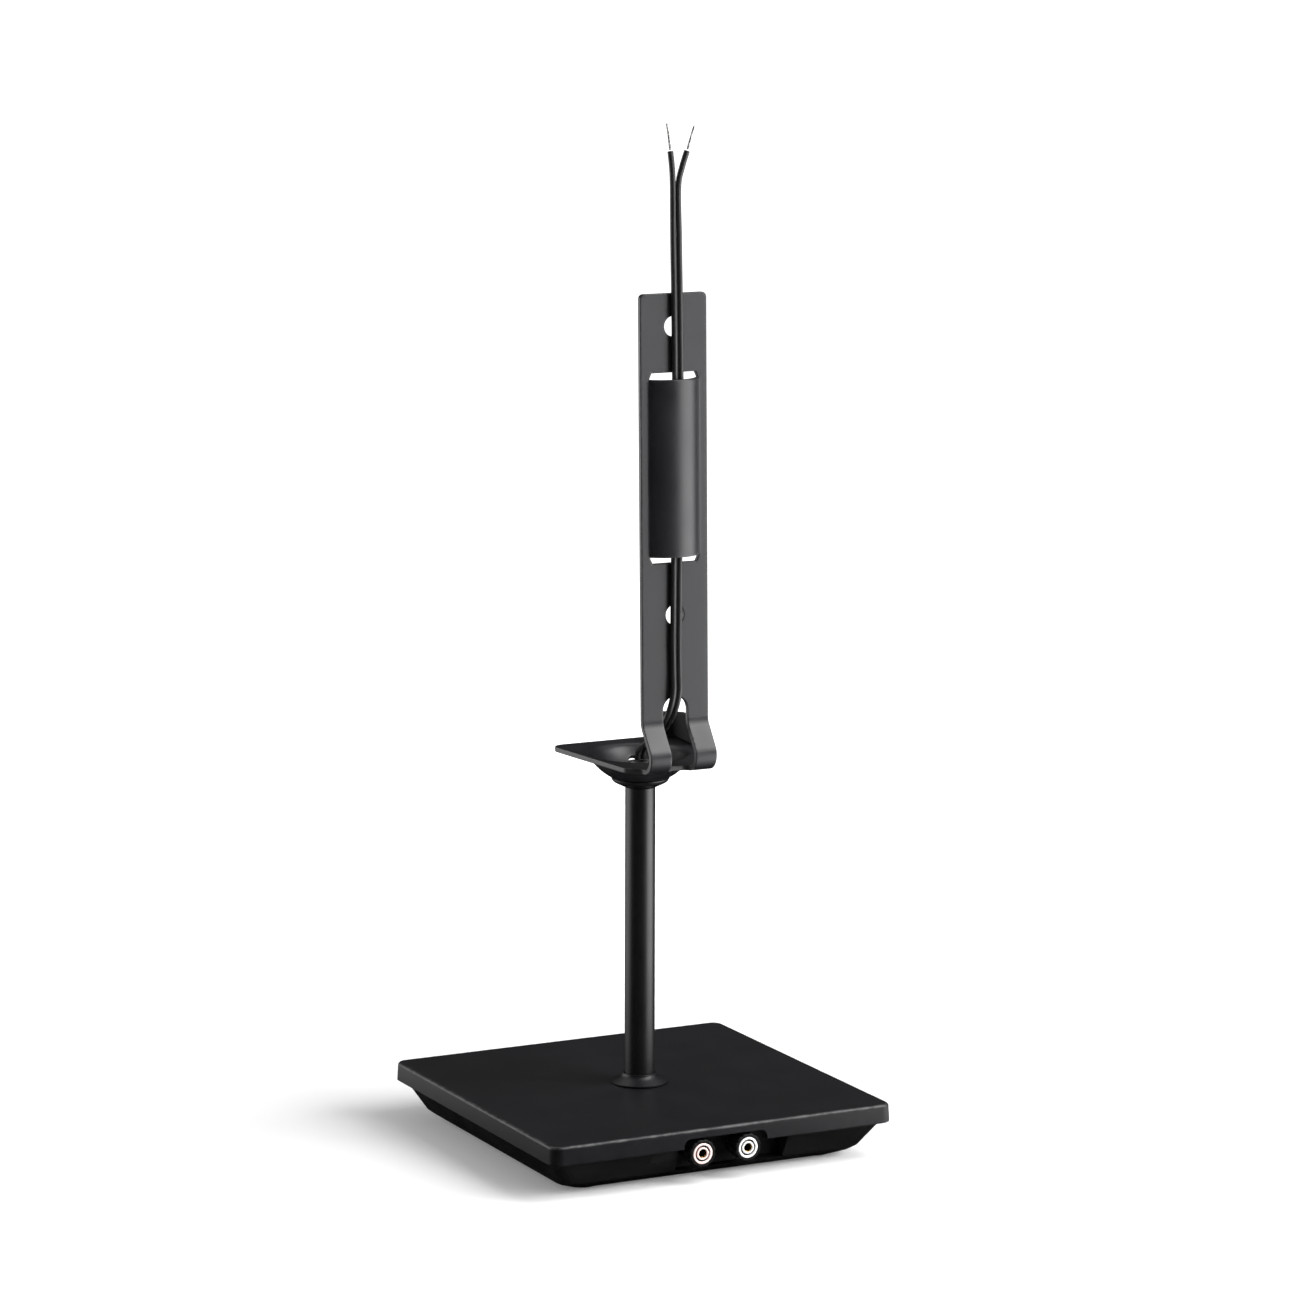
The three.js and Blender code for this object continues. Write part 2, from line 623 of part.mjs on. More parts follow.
function makeLip() {
  const t = bracket.thick;
  const reach = lip.length / 2;
  const section = alongLip([
    ...roundedLine([[-lip.root, trayLow], [0, trayLow, lip.bend + t], [0, lipTop]], 4),
    ...roundedLine([[-t, lipTop], [-t, trayTop, lip.bend], [-lip.root, trayTop]], 3)], lip.length);
  const profile = roundedShape([[-reach, lipTop - lip.nearDrop, lip.corner], [-reach, trayLow - PAST],
    [reach, trayLow - PAST], [reach, lipTop - lip.farDrop, lip.corner], [0, lipTop, lip.crown]]);
  const side = slab(profile, -FAR, FAR).rotateX(Math.PI / 2).rotateZ(Math.PI / 2);
  const body = solid(lipPlace(section)).intersect(solid(lipPlace(side)));
  const clear = solid(lipPlace(block(-lip.root + GAP, FAR, -reach, reach,
    trayLow - PAST, trayTop + PAST)));
  return { body, clear };
}

function makeBracket() {
  const b = bracket;
  const past = bracketTop + PAST;
  const line = roundedLine([[b.front, tray], [b.heelY, tray, b.heelRadius],
    [b.heelY, tray + b.heelTop, b.jogRadius], [b.backY, backFoot, b.jogRadius],
    [b.backY + (past - backFoot) * slope, past]], 6);
  let body = solid(slab(ribbon(line, b.thick), -FAR, FAR).rotateZ(Math.PI / 2).rotateY(Math.PI / 2))
    .intersect(solid(slab(trayOutline(), 0, FAR)))
    .intersect(solid(across(uprightOutline(), -FAR, FAR)));
  const dish = makeDish();
  const well = solid(disc(0, 0, dish.reach - GAP, trayLow - PAST, trayTop + PAST, 30));
  body = body.subtract(well).add(dish.solid);
  const { body: sideLip, clear } = makeLip();
  body = body.subtract(clear).add(sideLip);
  const bridge = makeBridge();
  body = body.add(bridge.outer).subtract(bridge.inner)
    .subtract(slitCut(up(b.bridgeHigh), up(b.bridgeHigh + b.slit)))
    .subtract(slitCut(up(b.bridgeLow), up(b.bridgeLow - b.slit)));
  body = body.subtract(solid(across(archSlot(), -FAR, b.backY + b.jogRadius, 8)));
  const s = b.slotHalf;
  body = body.subtract(solid(slab(roundedShape([[-s, -FAR], [s, -FAR],
    [s, b.slotEndY, b.slotEndRadius], [-s, b.slotEndY, b.slotEndRadius]]), trayLow - PAST, trayTop + PAST)));
  for (const height of [b.lowerHole, b.upperHole]) {
    body = body.subtract(solid(leaned(disc(0, 0, b.holeRadius, -b.thick - PAST, PAST, 22)
      .rotateX(Math.PI / 2).translate(0, 0, up(height)))));
  }
  const tilt = Math.asin(ball.peepholeReach / ball.radius);
  body = body.subtract(solid(disc(0, 0, ball.peephole, -ball.radius - PAST, -dishInner + PAST, 16)
    .rotateX(tilt).rotateZ(-THREE.MathUtils.degToRad(ball.peepholeTurn)).translate(0, 0, ballCentre)));
  return geometryOf(body);
}

function makePad() {
  const outer = -bracket.thick - GAP;
  const inner = outer - lip.padThick;
  const low = trayTop + GAP;
  const high = lipTop - lip.padDrop;
  return lipPlace(alongLip(vectors([[inner, low], [outer - lip.bend, low], [outer, low + lip.bend],
    [outer, high], [inner, high]]), lip.length - 2 * lip.padShort));
}

add('bracket', makeBracket(), finishes.gunmetal);
add('lip_pad', closed(makePad()), finishes.rubber);

// ---------------------------------------------------------------- terminals

function makePanel() {
  const [wide, low, c] = [post.panelHalf, pocket.floor + GAP, post.panelCorner];
  const high = post.panelTop;
  const shape = roundedShape([[-wide, low, c], [wide, low, c], [wide, high, c], [-wide, high, c]]);
  for (const side of [-1, 1]) circleHole(shape, post.hole, side * post.spacing / 2, post.height);
  return across(shape, panelFace, panelFace + post.panelThick, 10);
}

function makeStem() {
  const p = post;
  const body = solid(turned([[0, p.tail], [p.stem - p.chamfer, p.tail], [p.stem, p.tail + p.chamfer],
    [p.stem, p.noseFrom], [p.nose, p.noseFrom], [p.nose, p.front - p.mouth], [p.nose - p.mouth, p.front],
    [p.socket, p.front], [p.socket, p.socketEnd], [0, p.socketEnd]], 14));
  const cross = solid(disc(0, 0, p.crossHole, -p.stem - PAST, p.stem + PAST, 12).rotateY(Math.PI / 2)
    .translate(0, 0, p.crossAt));
  return geometryOf(body.subtract(cross));
}

const washerLow = 2 * GAP + post.collarThick;
const capLow = washerLow + post.washerThick + GAP;

function makeCap() {
  const p = post;
  const neck = p.capRadius - p.neckInset;
  const neckEnd = capLow + p.neckLong;
  const grooveFloor = p.capFront - p.ringThick - GAP;
  const bushFloor = p.capFront - p.bushThick - GAP;
  const [grooveIn, grooveOut, bush] = [p.ringInner - p.seat, p.ringOuter + p.seat, p.bushOuter + p.seat];
  const body = solid(turned([[p.hole, capLow], [neck - p.capEdge, capLow], [neck, capLow + p.capEdge],
    [neck, neckEnd], [p.capRadius, neckEnd + p.neckInset], [p.capRadius, p.capFront - p.capEdge],
    [p.capRadius - p.capEdge, p.capFront], [grooveOut, p.capFront], [grooveOut, grooveFloor],
    [grooveIn, grooveFloor], [grooveIn, p.capFront], [bush, p.capFront], [bush, bushFloor],
    [p.hole, bushFloor]], 20));
  const reach = p.capRadius + p.fluteRadius - p.fluteDepth;
  const flutes = [...Array(p.flutes).keys()].map((i) => {
    const a = i * 2 * Math.PI / p.flutes;
    const [x, y] = [reach * Math.cos(a), reach * Math.sin(a)];
    return solid(disc(x, y, p.fluteRadius, neckEnd, p.capFront + PAST, 6));
  });
  return geometryOf(flutes.reduce((cap, flute) => cap.subtract(flute), body));
}

const lugHigh = -post.panelThick - 2 * GAP - pocket.wall;
const lugLow = lugHigh - post.lugThick;

function makeLug() {
  const p = post;
  const [r, w] = [p.lugRadius, p.lugHalf];
  const start = Math.asin(w / r);
  const shape = new THREE.Shape();
  shape.absarc(0, 0, r, -Math.PI / 2 + start, 3 * Math.PI / 2 - start, false);
  shape.lineTo(-w, -p.lugTail);
  shape.lineTo(w, -p.lugTail);
  shape.closePath();
  circleHole(shape, p.hole);
  circleHole(shape, p.lugHole, 0, -p.lugHoleAt);
  return slab(shape, lugLow, lugHigh, 8);
}

function addTerminal(side, name, colour) {
  const group = new THREE.Group();
  group.position.set(side * post.spacing / 2, panelFace, post.height);
  group.rotation.x = Math.PI / 2;
  stand.add(group);
  const p = post;
  const nutTop = lugLow - GAP;
  add(`${name}_stem`, makeStem(), finishes.gold, group);
  const ring = (inner, outer, low, thick) => ringOf(inner, outer, low, low + thick);
  add(`${name}_collar`, ring(p.hole, p.collarRadius, GAP, p.collarThick), finishes.moulded, group);
  add(`${name}_washer`, ring(p.hole, p.washerRadius, washerLow, p.washerThick), finishes.gold, group);
  add(`${name}_cap`, makeCap(), finishes.moulded, group);
  add(`${name}_ring`, ring(p.ringInner, p.ringOuter, p.capFront - p.ringThick, p.ringThick), colour, group);
  add(`${name}_bush`, ring(p.bushInner, p.bushOuter, p.capFront - p.bushThick, p.bushThick), colour, group);
  add(`${name}_lug`, makeLug(), finishes.tinned, group);
  add(`${name}_nut`, nut(p.nutFlats, p.hole, nutTop - p.nutThick, nutTop), finishes.zinc, group);
}

add('terminal_panel', makePanel(), finishes.moulded);
addTerminal(-1, 'terminal_left', finishes.red);
addTerminal(1, 'terminal_right', finishes.white);

// ---------------------------------------------------------------- speaker lead

// Centre line of the twin lead on the bracket, from the mouth of the spigot to the split.
// Heights are measured from the tray's mid-plane.
const onTray = ([x, y, height]) => [x, y, tray + height];
const onRear = (x, height) => [x, rearFace(tray + height) - lead.core - GAP, height];
const leadRoute = [
  [0, 0, -2], [0, -0.3, 0.1], [-0.2, -1.8, 2.7], [-0.6, -5.2, 5.3], [-1.2, -11.5, 8.1],
  [-1.9, -19.3, 12.6], [-2.4, -26.6, 16.9], [-2.6, -32.2, 21.3], [-2.6, -36.1, 26.2], [-2.3, -38.1, 31.6],
  [-1.9, -38.7, 37.2], onRear(-1.4, 45.5), onRear(-0.8, 57.5), onRear(-0.3, 73.5), onRear(0.1, 99.5),
  onRear(0.8, 141.5), onRear(1.2, 184.5), onRear(1, 224.5), onRear(0.7, 251.5), onRear(0.65, 276.5),
];
const splitEnds = {
  left: {
    core: [[-1.35, -33.7, 283.5], [-2.2, -33.6, 291]],
    tip: [[-2.3, -33.6, 291.6], [-3, -33.5, 297.5], [-4.1, -33.4, 304]],
  },
  right: {
    core: [[3.9, -33.7, 283.5], [6.5, -33.6, 291]],
    tip: [[6.75, -33.6, 291.6], [8.6, -33.5, 297.5], [10.4, -33.4, 302.7]],
  },
};

// Centre line of the lead inside the column and the base, then each core's way to its lug.
const innerRoute = [
  [0, 0, ballNutTop - GAP], [0, 0, (columnTop + columnFoot) / 2], [0, 0, columnFoot], [0, 0, 20],
  [0, 0, 11.6], [0, -1.6, 8.3], [0, -5.2, 6.2], [0, -10, 5.75], [0, -24, 5.75],
];
const lugRoute = [[-9, 38, 5.75], [-4.5, 26, 5.75], [-1.4, 18, 5.75], [-0.2, 12, 6], [0, 6.8, 7.4]];

for (const [name, side] of [['left', -1], ['right', 1]]) {
  const beside = ([x, y, z]) => [x + side * lead.pitch / 2, y, z];
  const toLug = ([x, y, z]) => [side * (post.spacing / 2 + x), panelFace + y, z];
  const end = splitEnds[name];
  const coreRoute = [...leadRoute.map(beside), ...end.core].map(onTray);
  add(`lead_core_${name}`, wire(coreRoute, lead.core), finishes.jacket);
  add(`lead_strand_${name}`, wire(end.tip.map(onTray), lead.strand, 4), finishes.tinned);
  const insideRoute = [...innerRoute.map(beside), ...lugRoute.map(toLug)];
  add(`inner_core_${name}`, wire(insideRoute, lead.core, lead.innerSteps), finishes.jacket);
}

export default stand;
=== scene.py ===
# Desk stand for a small loudspeaker, seen from behind: weighted base with two wire terminals, round
# column, and a bent sheet bracket that swivels and tilts on a dished ball seat.
# Sizes in the dictionaries are millimetres; meshes are in metres, +Z up, terminals towards -Y.
import math

import bmesh
import bpy
import numpy as np
from mathutils import Matrix, Vector
from mathutils.geometry import delaunay_2d_cdt


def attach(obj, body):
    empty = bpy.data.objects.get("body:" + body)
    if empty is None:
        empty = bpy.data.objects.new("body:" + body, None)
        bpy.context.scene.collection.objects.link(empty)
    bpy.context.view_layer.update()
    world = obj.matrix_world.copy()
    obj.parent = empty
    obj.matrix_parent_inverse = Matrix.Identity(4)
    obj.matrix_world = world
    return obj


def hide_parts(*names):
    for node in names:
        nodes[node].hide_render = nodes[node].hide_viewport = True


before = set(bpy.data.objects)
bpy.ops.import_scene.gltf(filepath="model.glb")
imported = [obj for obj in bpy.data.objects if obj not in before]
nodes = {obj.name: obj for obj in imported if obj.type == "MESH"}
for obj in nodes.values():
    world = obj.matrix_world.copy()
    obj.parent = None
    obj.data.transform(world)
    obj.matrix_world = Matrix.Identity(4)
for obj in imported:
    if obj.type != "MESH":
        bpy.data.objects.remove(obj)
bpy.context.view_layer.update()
mm = 0.001
print("frame loaded:", len(nodes), "nodes")


# camera

photoCamera = {
    "place": (-1045.87, -2068.79, 640.84),
    "aim": (2.85, -4.32, 240.04),
    "lens": 136.33,
    "roll": 0.16,       # degrees
}


def addCamera(s):
    # Looks from place to aim, then rolls about its own line of sight.
    data = bpy.data.cameras.new("camera")
    data.sensor_width = 36
    data.lens = s["lens"]
    data.clip_end = 30
    camera = bpy.data.objects.new("camera", data)
    bpy.context.scene.collection.objects.link(camera)
    place, aim = Vector(s["place"]) * mm, Vector(s["aim"]) * mm
    look = (aim - place).to_track_quat("-Z", "Y").to_matrix().to_4x4()
    camera.matrix_world = Matrix.Translation(place) @ look @ Matrix.Rotation(math.radians(s["roll"]), 4, "Z")
    bpy.context.scene.camera = camera


addCamera(photoCamera)
bpy.context.scene.view_settings.view_transform = "Standard"


# node groups and materials

def put(tree, kind, inputs=None, **settings):
    # Adds one shader node; each input is a number, a colour or a socket to link from.
    made = tree.nodes.new("ShaderNode" + kind)
    for key, value in settings.items():
        setattr(made, key, value)
    for key, value in (inputs or {}).items():
        if isinstance(value, bpy.types.NodeSocket):
            tree.links.new(value, made.inputs[key])
        else:
            made.inputs[key].default_value = value
    return made


def feed(tree, target, sockets):
    # Links each socket to the input of the same name.
    for key, socket in sockets.items():
        tree.links.new(socket, target[key])


def calc(tree, operation, a, b):
    return put(tree, "Math", {0: a, 1: b}, operation=operation).outputs[0]


def times(tree, a, b):
    return calc(tree, "MULTIPLY", a, b)


def spread(tree, value, low, high, newLow=0.0, newHigh=1.0):
    # Stretches low..high of a value to newLow..newHigh, with soft ends.
    ends = {"Value": value, "From Min": low, "From Max": high, "To Min": newLow, "To Max": newHigh}
    return put(tree, "MapRange", ends, interpolation_type="SMOOTHSTEP").outputs[0]


def mixColour(tree, factor, a, b):
    return put(tree, "Mix", {0: factor, 6: a, 7: b}, data_type="RGBA").outputs[2]


def noise(tree, where, scale, detail=2.0):
    return put(tree, "TexNoise", {"Vector": where, "Scale": scale, "Detail": detail}).outputs[0]


def startGroup(name, inputs, outputs):
    tree = bpy.data.node_groups.new(name, "ShaderNodeTree")
    for title, kind in inputs.items():
        tree.interface.new_socket(title, in_out="INPUT", socket_type="NodeSocket" + kind)
    for title in outputs:
        tree.interface.new_socket(title, in_out="OUTPUT", socket_type="NodeSocketFloat")
    return tree, tree.nodes.new("NodeGroupInput").outputs, tree.nodes.new("NodeGroupOutput").inputs


def grainGroup():
    # Fine orange peel of sprayed paint or moulded plastic, and slow patches of a slightly other tone.
    tree, given, out = startGroup("coat grain", {"Vector": "Vector", "Scale": "Float"}, ["Height", "Patches"])
    fine = noise(tree, given["Vector"], given["Scale"])
    patches = noise(tree, given["Vector"], times(tree, given["Scale"], 0.021), 3.0)
    feed(tree, out, {"Height": fine, "Patches": spread(tree, patches, 0.3, 0.7)})
    return tree


def rubAndPaintedGlintGroup():
    # Edges lose a little of their finish and take a painted highlight: the mesh's own rim value, broken up by noise.
    tree, given, out = startGroup("edge rub and painted glint", {"Vector": "Vector", "Rim": "Float", "Amount": "Float"}, ["Mask"])
    uneven = spread(tree, noise(tree, given["Vector"], 240.0, 4.0), 0.36, 0.66)
    feed(tree, out, {"Mask": times(tree, times(tree, uneven, given["Rim"]), given["Amount"])})
    return tree


def dustGroup():
    # A trace of dust where the surface faces up: soft blotches with some single specks.
    tree, given, out = startGroup("dust", {"Vector": "Vector", "Normal": "Vector", "Amount": "Float"}, ["Mask"])
    level = put(tree, "SeparateXYZ", {0: given["Normal"]}).outputs["Z"]
    blotches = spread(tree, noise(tree, given["Vector"], 38.0, 5.0), 0.35, 0.75, 0.15, 0.7)
    specks = spread(tree, noise(tree, given["Vector"], 900.0, 1.0), 0.7, 0.78)
    mask = times(tree, calc(tree, "ADD", blotches, specks), spread(tree, level, 0.3, 0.95))
    feed(tree, out, {"Mask": times(tree, mask, given["Amount"])})
    return tree


groups = {"grain": grainGroup(), "rubAndPaintedGlint": rubAndPaintedGlintGroup(), "dust": dustGroup()}


def placeGroup(tree, name, inputs):
    # Puts a node group into a material with this material's own values.
    return put(tree, "Group", inputs, node_tree=groups[name]).outputs


def startMaterial(name, look):
    # A material with one Principled shader. What is even all over is set on the shader's own sockets.
    material = bpy.data.materials.new(name)
    material.use_nodes = True
    tree = material.node_tree
    shader = tree.nodes["Principled BSDF"]
    shader.inputs["Specular IOR Level"].default_value = look.get("specular", 0.5)
    shader.inputs["Metallic"].default_value = look.get("metal", 0.0)
    return material, tree, shader, put(tree, "TexCoord").outputs["Object"]


def finishWith(tree, shader, colour, roughness, grain, look):
    # Links what changes over the surface; the grain stands up a tenth of a millimetre at most.
    bump = put(tree, "Bump", {"Height": grain["Height"], "Strength": look["bump"], "Distance": 0.1 * mm})
    feed(tree, shader.inputs, {"Base Color": colour, "Roughness": roughness, "Normal": bump.outputs[0]})


def coatedMaterial(name, look):
    # Paint, moulding, plating or rubber: two close tones, grain in height and shine, rims lightened by rub and a
    # painted highlight, dust.
    material, tree, shader, where = startMaterial(name, look)
    grain = placeGroup(tree, "grain", {"Vector": where, "Scale": look["grain"]})
    colour = mixColour(tree, grain["Patches"], look["tone"], look["otherTone"])
    # Rims mix towards a lighter tone: partly wear, partly a painted highlight on rounded edges.
    if "rubAndPaintedGlintTone" in look:
        rim = put(tree, "Attribute", attribute_name="rim").outputs["Fac"]
        rubAndPaintedGlint = placeGroup(tree, "rubAndPaintedGlint", {"Vector": where, "Rim": rim, "Amount": look["rubAndPaintedGlint"]})
        colour = mixColour(tree, rubAndPaintedGlint["Mask"], colour, look["rubAndPaintedGlintTone"])
    if "dust" in look:
        facing = put(tree, "NewGeometry").outputs["Normal"]
        dust = placeGroup(tree, "dust", {"Vector": where, "Normal": facing, "Amount": look["dust"]})
        colour = mixColour(tree, dust["Mask"], colour, look["dustTone"])
    finishWith(tree, shader, colour, spread(tree, grain["Patches"], 0.0, 1.0, *look["roughness"]), grain, look)
    return material


def grey(value, blue=1.0):
    return (value, value, value * blue, 1)


finishes = {
    "basePaint": {
        # The much lighter rub tone on the top's rounded edge is partly wear, partly a painted highlight.
        "tone": grey(0.0037, 1.4), "otherTone": grey(0.0042, 1.4), "rubAndPaintedGlint": 0.5, "rubAndPaintedGlintTone": grey(0.1),
        "dust": 0.004, "dustTone": (0.3, 0.29, 0.28, 1),
        "grain": 2600.0, "bump": 0.2, "roughness": (0.43, 0.45), "specular": 0.55,
    },
    "columnPaint": {
        # Its lighter rub tone stands for wear and painted rim glints; the turned pieces in this paint carry no rim
        # values, so it doesn't show.
        "tone": grey(0.006), "otherTone": grey(0.007), "rubAndPaintedGlint": 0.6, "rubAndPaintedGlintTone": grey(0.1),
        "grain": 2200.0, "bump": 0.1, "roughness": (0.36, 0.4), "specular": 0.6,
    },
    "bracketPaint": {
        "tone": grey(0.01, 1.2), "otherTone": grey(0.0125, 1.2), "rubAndPaintedGlint": 0.25, "rubAndPaintedGlintTone": grey(0.06),
        "grain": 2400.0, "bump": 0.14, "roughness": (0.36, 0.42), "specular": 0.6,
    },
    "moulding": {
        "tone": grey(0.006), "otherTone": grey(0.0075), "rubAndPaintedGlint": 0.3, "rubAndPaintedGlintTone": grey(0.03),
        "grain": 3200.0, "bump": 0.4, "roughness": (0.5, 0.6), "specular": 0.35,
    },
    "platedSteel": {
        "tone": grey(0.42, 1.03), "otherTone": grey(0.5, 1.03),
        "grain": 1500.0, "bump": 0.15, "roughness": (0.28, 0.4), "metal": 1.0,
    },
    "ballastSteel": {
        "tone": (0.16, 0.155, 0.15, 1), "otherTone": (0.24, 0.22, 0.2, 1),
        "grain": 900.0, "bump": 0.5, "roughness": (0.45, 0.65), "metal": 1.0,
    },
    "footRubber": {
        "tone": grey(0.012), "otherTone": grey(0.018),
        "grain": 2000.0, "bump": 0.6, "roughness": (0.75, 0.88), "specular": 0.3,
    },
    "goldPlate": {
        "tone": (0.83, 0.52, 0.17, 1), "otherTone": (0.9, 0.6, 0.22, 1),
        "grain": 1800.0, "bump": 0.08, "roughness": (0.14, 0.24), "metal": 1.0,
    },
    "redRing": {
        # Pale pink rather than red: a painted highlight, the blown-out sheen of the red plastic.
        "tone": (0.88, 0.66, 0.62, 1), "otherTone": (0.92, 0.76, 0.73, 1),
        "grain": 2600.0, "bump": 0.1, "roughness": (0.3, 0.4), "specular": 0.5,
    },
    "whiteRing": {
        "tone": (0.92, 0.92, 0.9, 1), "otherTone": (0.86, 0.86, 0.84, 1),
        "grain": 2600.0, "bump": 0.1, "roughness": (0.3, 0.4), "specular": 0.5,
    },
    "innerJacket": {
        "tone": grey(0.01), "otherTone": grey(0.015),
        "grain": 2500.0, "bump": 0.3, "roughness": (0.4, 0.5), "specular": 0.5,
    },
}
materials = {name: coatedMaterial(name, look) for name, look in finishes.items()}


def jacketMaterial(look):
    # Soft black cable jacket: faint streaks drawn out along the cable, as if it lay straight.
    material, tree, shader, where = startMaterial("cableJacket", look)
    straight = put(tree, "Attribute", attribute_name="straight").outputs["Vector"]
    drawn = put(tree, "Mapping", {"Vector": straight, "Scale": (0.05, 1.0, 1.0)}).outputs[0]
    streaks = noise(tree, drawn, 1.5, 3.0)
    grain = placeGroup(tree, "grain", {"Vector": where, "Scale": look["grain"]})
    finishWith(tree, shader, mixColour(tree, streaks, look["tone"], look["otherTone"]),
               spread(tree, streaks, 0.3, 0.7, *look["roughness"]), grain, look)
    return material


materials["cableJacket"] = jacketMaterial({
    "tone": grey(0.009), "otherTone": grey(0.014), "roughness": (0.36, 0.5), "grain": 2500.0, "bump": 0.2,
    "specular": 0.55,
})


def tinnedMaterial(look):
    # Tinned copper wire: bright, with dull grey stretches and a little copper showing through.
    material, tree, shader, where = startMaterial("tinnedWire", look)
    dull = noise(tree, where, 900.0, 3.0)
    copper = spread(tree, noise(tree, where, 420.0), 0.62, 0.78)
    colour = mixColour(tree, spread(tree, dull, 0.35, 0.65), look["bright"], look["dull"])
    feed(tree, shader.inputs, {"Base Color": mixColour(tree, copper, colour, look["copper"]),
                               "Roughness": spread(tree, dull, 0.3, 0.7, *look["roughness"])})
    return material


materials["tinnedWire"] = tinnedMaterial({
    "bright": (0.6, 0.59, 0.57, 1), "dull": (0.13, 0.13, 0.13, 1), "copper": (0.5, 0.3, 0.2, 1),
    "roughness": (0.25, 0.5), "metal": 1.0,
})
print("materials:", len(materials))


# mesh helpers

def quarter(count):
    # Angles of a quarter turn.
    return np.linspace(0, np.pi / 2, count)


def fullTurn(count):
    # Angles of a full turn, without its end.
    return np.arange(count) * 2 * np.pi / count


def roundedLine(corners, steps=8, loop=False):
    # A flat polyline whose corners (x, y, radius) become arcs that touch both sides of the corner.
    # The arc's centre lies on the corner's bisector, radius / sin(half angle) away from the corner.
    corners = [(*c, 0.0)[:3] for c in corners]
    points = []
    for i, (x, y, radius) in enumerate(corners):
        here = np.array([x, y], float)
        if not radius or (not loop and i in (0, len(corners) - 1)):
            points.append(here[None])
            continue
        sides = [np.array(corners[(i + k) % len(corners)][:2]) - here for k in (-1, 1)]
        before, after = (side / np.hypot(*side) for side in sides)
        halfAngle = math.acos(max(-1.0, min(1.0, float(before @ after)))) / 2
        middle = (before + after) / np.hypot(*(before + after))
        centre = here + middle * radius / math.sin(halfAngle)
        start = here + before * radius / math.tan(halfAngle) - centre
        end = here + after * radius / math.tan(halfAngle) - centre
        sweep = math.atan2(start[0] * end[1] - start[1] * end[0], float(start @ end))
        turn = np.linspace(0, sweep, steps + 1)
        points.append(centre + np.stack([start[0] * np.cos(turn) - start[1] * np.sin(turn),
                                         start[0] * np.sin(turn) + start[1] * np.cos(turn)], -1))
    return np.concatenate(points)


def gridFaces(rows, columns, wrapRows=False, wrapColumns=False):
    # Each cell of the grid is a quad; a wrapped direction joins its last line to its first.
    i, j = np.meshgrid(np.arange(rows if wrapRows else rows - 1),
                       np.arange(columns if wrapColumns else columns - 1), indexing="ij")
    down, right = (i + 1) % rows, (j + 1) % columns
    quads = [i * columns + j, down * columns + j, down * columns + right, i * columns + right]
    return np.stack(quads, -1).reshape(-1, 4)


def addPiece(name, points, faces, finish, body, replaced=(), rim=None, straight=None, creases=40):
    # Puts points (millimetres) and faces into one mesh object that rides on its body.
    mesh = bpy.data.meshes.new(name)
    mesh.from_pydata((np.asarray(points, float) * mm).tolist(), [], [list(map(int, f)) for f in faces])
    if rim is not None:
        mesh.attributes.new("rim", "FLOAT", "POINT").data.foreach_set("value", np.asarray(rim, np.float32))
    if straight is not None:
        places = mesh.attributes.new("straight", "FLOAT_VECTOR", "POINT")
        places.data.foreach_set("vector", np.asarray(straight, np.float32).ravel())
    shell = bmesh.new()
    shell.from_mesh(mesh)
    bmesh.ops.remove_doubles(shell, verts=shell.verts, dist=1e-7)       # joins seams and poles
    bmesh.ops.recalc_face_normals(shell, faces=shell.faces)
    shell.to_mesh(mesh)
    shell.free()
    mesh.shade_smooth()
    mesh.set_sharp_from_angle(angle=math.radians(creases))
    mesh.materials.append(materials[finish])
    piece = bpy.data.objects.new(name, mesh)
    bpy.context.scene.collection.objects.link(piece)
    piece.modifiers.new("even shading", "WEIGHTED_NORMAL").keep_sharp = True
    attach(piece, body)
    if replaced:
        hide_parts(*replaced)
    return piece


def turnedPoints(profile, segments, relief=None):
    # A profile of (radius, height) turned about Z: x = radius cos a, y = radius sin a. A relief is
    # taken off the radius.
    angle = fullTurn(segments)
    radius, height = (np.asarray(profile)[:, k][:, None] * np.ones(segments) for k in (0, 1))
    if relief is not None:
        radius = radius - relief(radius, height, angle[None])
    points = np.stack([radius * np.cos(angle), radius * np.sin(angle), height], -1)
    closed = profile[0][0] > 0                  # a profile that starts on the axis stays open
    return points.reshape(-1, 3), gridFaces(len(profile), segments, closed, True)


def rearward(points, x, y, z):
    # Lays an upright turned piece on its back: its height runs towards -Y from the given place.
    return np.stack([x + points[:, 0], y - points[:, 2], z + points[:, 1]], -1)


def smoothPath(points, perStretch=12):
    # Centripetal Catmull-Rom curve: each stretch is a cubic through its two points, whose end slopes
    # come from the neighbours, weighted by the square roots of the distances between them.
    p = np.asarray(points, float)
    p = np.vstack([2 * p[0] - p[1], p, 2 * p[-1] - p[-2]])
    gap = np.sqrt(np.linalg.norm(np.diff(p, axis=0), axis=1))[:, None]
    a, b, c, d = p[:-3], p[1:-2], p[2:-1], p[3:]
    g0, g1, g2 = gap[:-2], gap[1:-1], gap[2:]
    startSlope = g1 * ((b - a) / g0 - (c - a) / (g0 + g1) + (c - b) / g1)
    endSlope = g1 * ((c - b) / g1 - (d - b) / (g1 + g2) + (d - c) / g2)
    t = np.linspace(0, 1, perStretch, endpoint=False)[None, :, None]
    b, c, startSlope, endSlope = (v[:, None] for v in (b, c, startSlope, endSlope))
    curve = b + startSlope * t + (3 * (c - b) - 2 * startSlope - endSlope) * t ** 2 \
        + (2 * (b - c) + startSlope + endSlope) * t ** 3
    return np.vstack([curve.reshape(-1, 3), p[-2]])


def framesAlong(path):
    # Directions along a path, beside it (as near +X as can be) and square to both.
    ahead = np.gradient(path, axis=0)
    ahead /= np.linalg.norm(ahead, axis=1, keepdims=True)
    beside = np.array([1.0, 0, 0]) - ahead * ahead[:, :1]
    beside /= np.linalg.norm(beside, axis=1, keepdims=True)
    return ahead, beside, np.cross(ahead, beside)


